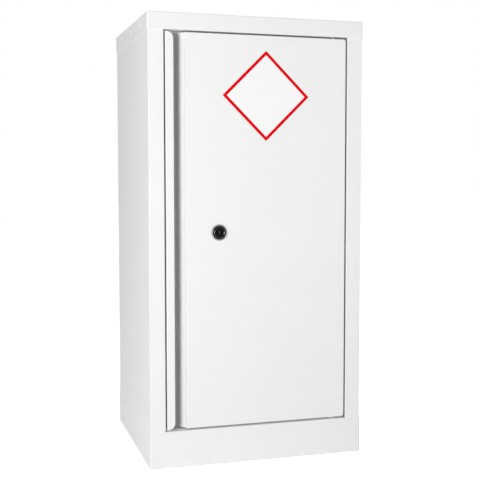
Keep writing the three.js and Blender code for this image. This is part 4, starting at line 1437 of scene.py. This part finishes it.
class CABINET_OT_pivots(bpy.types.Operator):
    """Make the hinge plates, pivot pins, bush, washer, door buffers and end stops"""

    bl_idname = "cabinet.pivots"
    bl_label = "Pivots and stops"

    def execute(self, context):
        pivots = context.scene.cabinet_pivots
        for holder in ("frame", "door"):
            for end in ("top", "bottom"):
                refined(f"{holder}_hinge_plate_{end}")
        for end in ("upper", "lower"):
            refined("end_stop_" + end)
        for node in ("hinge_pin_top", "hinge_pin_bottom"):
            self.pin(node, pivots)
        for node in ("hinge_bush_top", "hinge_washer_bottom"):
            self.bush(node, pivots)
        for node in ("door_buffer_upper", "door_buffer_lower"):
            self.buffer(node, pivots)
        return {"FINISHED"}

    def pin(self, node, pivots):
        """A headed pin with a tapered point."""
        low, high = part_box(node)
        head = (high.x - low.x) / 2
        under_head = low.z + pivots.pin_head
        profile = [
            (0, low.z, 0),
            (head, low.z, pivots.ease),
            (head, under_head, pivots.ease),
            (pivots.pin, under_head, 0),
            (pivots.pin, high.z - pivots.pin_point, pivots.ease),
            (pivots.pin - pivots.pin_point, high.z, pivots.ease),
            (0, high.z, 0),
        ]
        eased_edges(turned_piece(node, "z", profile, PIVOT_FACETS))

    def bush(self, node, pivots):
        """A plain nylon ring round a pin."""
        low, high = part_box(node)
        outside = (high.x - low.x) / 2
        corners = ((pivots.bore, low.z), (outside, low.z), (outside, high.z), (pivots.bore, high.z))
        profile = [(*corner, pivots.ease) for corner in corners]
        turned_piece(node, "z", profile, PIVOT_FACETS)

    def buffer(self, node, pivots):
        """A rubber button with a rounded front."""
        low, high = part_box(node)
        radius = (high.x - low.x) / 2
        profile = [
            (0, high.y, 0),
            (radius, high.y, 0),
            (radius, low.y, pivots.buffer_dome),
            (0, low.y, 0),
        ]
        eased_edges(turned_piece(node, "y", profile, ROD_FACETS))


class CABINET_OT_uprights(bpy.types.Operator):
    """Make the four slotted uprights from one punched length of folded sheet"""

    bl_idname = "cabinet.uprights"
    bl_label = "Uprights"

    def execute(self, context):
        settings = context.scene.cabinet_uprights
        for side, sign in SIDES.items():
            for depth in DEPTHS:
                self.upright(f"upright_{depth}_{side}", sign, settings)
        return {"FINISHED"}

    def upright(self, node, sign, settings):
        """One upright: a length of folded sheet, repeated and given its thickness."""
        low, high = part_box(node)
        wall = end_of(node, "x", sign) - sign * settings.sheet / 2
        crown = end_of(node, "x", -sign) + sign * settings.sheet / 2
        middle = (low.y + high.y) / 2
        half = settings.crown / 2
        corners = [(wall, -half - settings.flange), (wall, -half), (crown, -half)]
        corners += [(x, -y) for x, y in reversed(corners)]
        line = folded([Vector((x, middle + y)) for x, y in corners], settings.fold)
        mesh = bmesh.new()
        bottom = [mesh.verts.new((p.x, p.y, low.z)) for p in line]
        top = [mesh.verts.new((p.x, p.y, low.z + settings.pitch)) for p in line]
        for i in range(len(line) - 1):
            rim = [bottom[i], bottom[i + 1], top[i + 1], top[i]]
            if all(abs(point.x - crown) < ON_AXIS for point in line[i : i + 2]):
                self.punched(mesh, rim, Vector((crown, middle, low.z)), settings)
            else:
                mesh.faces.new(rim)
        obj = object_of(node + "_punched", mesh, ["zinc_plate"])
        cells = round((high.z - low.z) / settings.pitch)
        repeated(obj, "zinc_plate", cells, (0, 0, settings.pitch))
        walls = obj.modifiers.new("sheet_thickness", "SOLIDIFY")
        walls.thickness = settings.sheet
        walls.offset = 0
        walls.use_even_offset = True
        eased_edges(obj, bpy.context.scene.cabinet_edges.sheet_round)
        put(obj, [node])

    def punched(self, mesh, rim, foot, settings):
        """The crown's face of one length, with its slot left open."""
        half = settings.slot_width / 2
        rise = settings.slot_height / 2
        centre = foot.z + settings.pitch / 2
        low, high = (foot.y - half, centre - rise), (foot.y + half, centre + rise)
        outline = rounded_outline(low, high, rise * settings.slot_round, steps=5)
        hole = [mesh.verts.new((foot.x, p.x, p.y)) for p in outline]
        edges = []
        for loop in (rim, hole):
            edges += [mesh.edges.get(pair) or mesh.edges.new(pair) for pair in around(loop)]
        bmesh.ops.triangle_fill(mesh, edges=edges, use_beauty=True)


def folded(corners, radius, steps=4):
    """A line through corners, with its folds rounded to a radius."""
    points = [corners[0]]
    for before, corner, after in zip(corners, corners[1:], corners[2:]):
        back = (before - corner).normalized() * radius
        ahead = (after - corner).normalized() * radius
        centre = corner + back + ahead
        for step in range(steps + 1):
            turn = step / steps * math.pi / 2
            points.append(centre - ahead * math.cos(turn) - back * math.sin(turn))
    return points + [corners[-1]]


class CABINET_OT_shelf(bpy.types.Operator):
    """Make the lipped shelf and the four clips that carry it"""

    bl_idname = "cabinet.shelf"
    bl_label = "Shelf and clips"

    def execute(self, context):
        refined("shelf")
        for side in SIDES:
            for depth in DEPTHS:
                refined(f"shelf_clip_{depth}_{side}")
        return {"FINISHED"}


class CABINET_OT_liner(bpy.types.Operator):
    """Make the moulded liner tray with its eased floor and turned-out rim"""

    bl_idname = "cabinet.liner"
    bl_label = "Liner tray"

    def execute(self, context):
        low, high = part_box("sump_liner")
        mesh = bmesh.new()
        rings = []
        for inset, radius, level in self.rings(context.scene.cabinet_liner, low.z, high.z):
            points = rounded_outline(
                (low.x + inset, low.y + inset), (high.x - inset, high.y - inset), radius, steps=12
            )
            rings.append([mesh.verts.new((p.x, p.y, level)) for p in points])
        for below, above in zip(rings, rings[1:]):
            band(mesh, below, above)
        mesh.faces.new(rings[0][::-1])
        mesh.faces.new(rings[-1])
        obj = put(object_of("liner_tray_moulded", mesh, ["liner_plastic"]), ["sump_liner"])
        flats = obj.modifiers.new("flat_shading", "WEIGHTED_NORMAL")
        flats.keep_sharp = False
        return {"FINISHED"}

    def rings(self, liner, bottom, top):
        """Each ring's inset, corner radius and height, from under the floor to above it."""
        wall, rim, foot, outer = liner.wall, liner.rim, liner.foot, liner.corner
        lean = rim + liner.draft
        inner = outer - wall
        turned_out = outer + rim
        return [
            # Up the outside
            (lean + wall + foot, inner, bottom),
            (lean + wall * 0.6, inner, bottom + wall * 0.15),
            (lean + wall * 0.1, outer, bottom + wall),
            (lean, outer, bottom + wall * 2),
            (rim + wall * 0.2, outer, top - wall * 1.8),
            (rim - wall * 0.2, outer, top - wall * 1.1),
            # Over the turned-out rim
            (wall * 0.2, turned_out, top - wall),
            (0, turned_out, top - wall * 0.6),
            (wall * 0.2, turned_out, top - wall * 0.1),
            (wall * 0.6, turned_out, top),
            (rim + wall * 0.4, outer, top),
            # Down the inside
            (rim + wall, inner, top - wall * 0.5),
            (rim + wall * 1.3, inner, top - wall * 1.6),
            (lean + wall, inner, bottom + wall + foot),
            (lean + wall + foot * 0.3, inner, bottom + wall + foot * 0.3),
            (lean + wall + foot, inner - foot * 0.5, bottom + wall),
        ]


# Stage


def lamp(name, at, target, side, watts):
    """A square lamp that faces a point and that the camera doesn't see."""
    data = bpy.data.lights.new(name, "AREA")
    data.shape = "SQUARE"
    data.size = side
    data.energy = watts
    obj = bpy.data.objects.new(name, data)
    facing = (Vector(target) - Vector(at)).to_track_quat("-Z", "Y").to_matrix().to_4x4()
    obj.matrix_world = Matrix.Translation(at) @ facing
    obj.visible_camera = False
    bpy.context.scene.collection.objects.link(obj)


class CABINET_OT_stage(bpy.types.Operator):
    """Make the camera, the lamps, the room light and the pale floor"""

    bl_idname = "cabinet.stage"
    bl_label = "Stage"

    def execute(self, context):
        scene = context.scene
        stage = scene.cabinet_stage
        self.camera(scene, stage)
        for name in ("key", "fill", "top"):
            side, watts = getattr(stage, name + "_side"), getattr(stage, name + "_power")
            lamp(name + "_lamp", getattr(stage, name), stage.target, side, watts)
        self.room(scene, stage)
        self.floor(scene, stage)
        scene.view_settings.view_transform = "Standard"
        return {"FINISHED"}

    def camera(self, scene, stage):
        """The camera where the photograph was taken from."""
        data = bpy.data.cameras.new("photo_view")
        data.sensor_fit = "HORIZONTAL"
        data.lens = stage.lens
        data.shift_x = stage.shift
        obj = bpy.data.objects.new("photo_view", data)
        upright = Matrix.Rotation(math.pi / 2 + stage.pitch, 4, "X")
        turn = Matrix.Rotation(-stage.yaw, 4, "Z") @ upright @ Matrix.Rotation(stage.roll, 4, "Z")
        obj.matrix_world = Matrix.Translation(stage.camera) @ turn
        scene.collection.objects.link(obj)
        scene.camera = obj

    def room(self, scene, stage):
        """The room light, which looks plain white to the camera."""
        scene.world = scene.world or bpy.data.worlds.new("room")
        tree = emptied(scene.world)
        seen = seen_directly(tree)
        strength = seen + (1 - seen) * stage.ambient
        light = tree.node("ShaderNodeBackground", None, {"Color": WHITE, "Strength": strength})
        tree.node("ShaderNodeOutputWorld", None, {"Surface": light})

    def floor(self, scene, stage):
        """The pale floor, which glows just enough to look white to the camera."""
        mesh = bmesh.new()
        half, level = stage.floor_half, stage.floor_level
        corners = ((-half, -half), (half, -half), (half, half), (-half, half))
        mesh.faces.new([mesh.verts.new((x, y, level)) for x, y in corners])
        data = bpy.data.meshes.new("floor")
        mesh.to_mesh(data)
        mesh.free()
        obj = bpy.data.objects.new("floor", data)
        scene.collection.objects.link(obj)
        material = bpy.data.materials.new("pale_floor")
        tree = emptied(material)
        matte = tree.node("ShaderNodeBsdfDiffuse", None, {"Color": opaque(stage.floor)}, "BSDF")
        glow = tree.node(
            "ShaderNodeEmission",
            None,
            {"Color": WHITE, "Strength": seen_directly(tree) * stage.floor_glow},
        )
        both = tree.node("ShaderNodeAddShader", None, {0: matte, 1: glow})
        tree.node("ShaderNodeOutputMaterial", None, {"Surface": both})
        data.materials.append(material)


def seen_directly(tree):
    """One for rays that show the background itself: straight, mirrored or let through."""
    ray = tree.node("ShaderNodeLightPath", output="Is Camera Ray")
    others = ray.other("Is Glossy Ray") + ray.other("Is Transmission Ray")
    return tree.node("ShaderNodeMath", {"operation": "MINIMUM"}, {0: ray + others, 1: 1.0})


OPERATORS = (
    CABINET_OT_carcass,
    CABINET_OT_cap_and_base,
    CABINET_OT_beads,
    CABINET_OT_rivets,
    CABINET_OT_door,
    CABINET_OT_sign,
    CABINET_OT_lock,
    CABINET_OT_lock_drive,
    CABINET_OT_pivots,
    CABINET_OT_uprights,
    CABINET_OT_shelf,
    CABINET_OT_liner,
    CABINET_OT_stage,
)


class CABINET_PT_pieces(bpy.types.Panel):
    """Lists the cabinet's pieces and their settings in the sidebar."""

    bl_idname = "CABINET_PT_pieces"
    bl_label = "Acid storage cabinet"
    bl_space_type = "VIEW_3D"
    bl_region_type = "UI"
    bl_category = "Cabinet"

    def draw(self, context):
        for operator in OPERATORS:
            self.layout.operator(operator.bl_idname)
        for name, group in SETTINGS.items():
            box = self.layout.box()
            box.label(text=group.__doc__.rstrip("."))
            settings = getattr(context.scene, name)
            for field in group.__annotations__:
                box.prop(settings, field)


def register():
    for name, group in SETTINGS.items():
        bpy.utils.register_class(group)
        setattr(bpy.types.Scene, name, PointerProperty(type=group))
    for operator in OPERATORS:
        bpy.utils.register_class(operator)
    bpy.utils.register_class(CABINET_PT_pieces)


def unregister():
    bpy.utils.unregister_class(CABINET_PT_pieces)
    for operator in reversed(OPERATORS):
        bpy.utils.unregister_class(operator)
    for name, group in reversed(SETTINGS.items()):
        delattr(bpy.types.Scene, name)
        bpy.utils.unregister_class(group)


def main():
    """Builds every piece in order."""
    register()
    for operator in OPERATORS:
        family, name = operator.bl_idname.split(".")
        getattr(getattr(bpy.ops, family), name)()


if __name__ == "__main__":
    main()
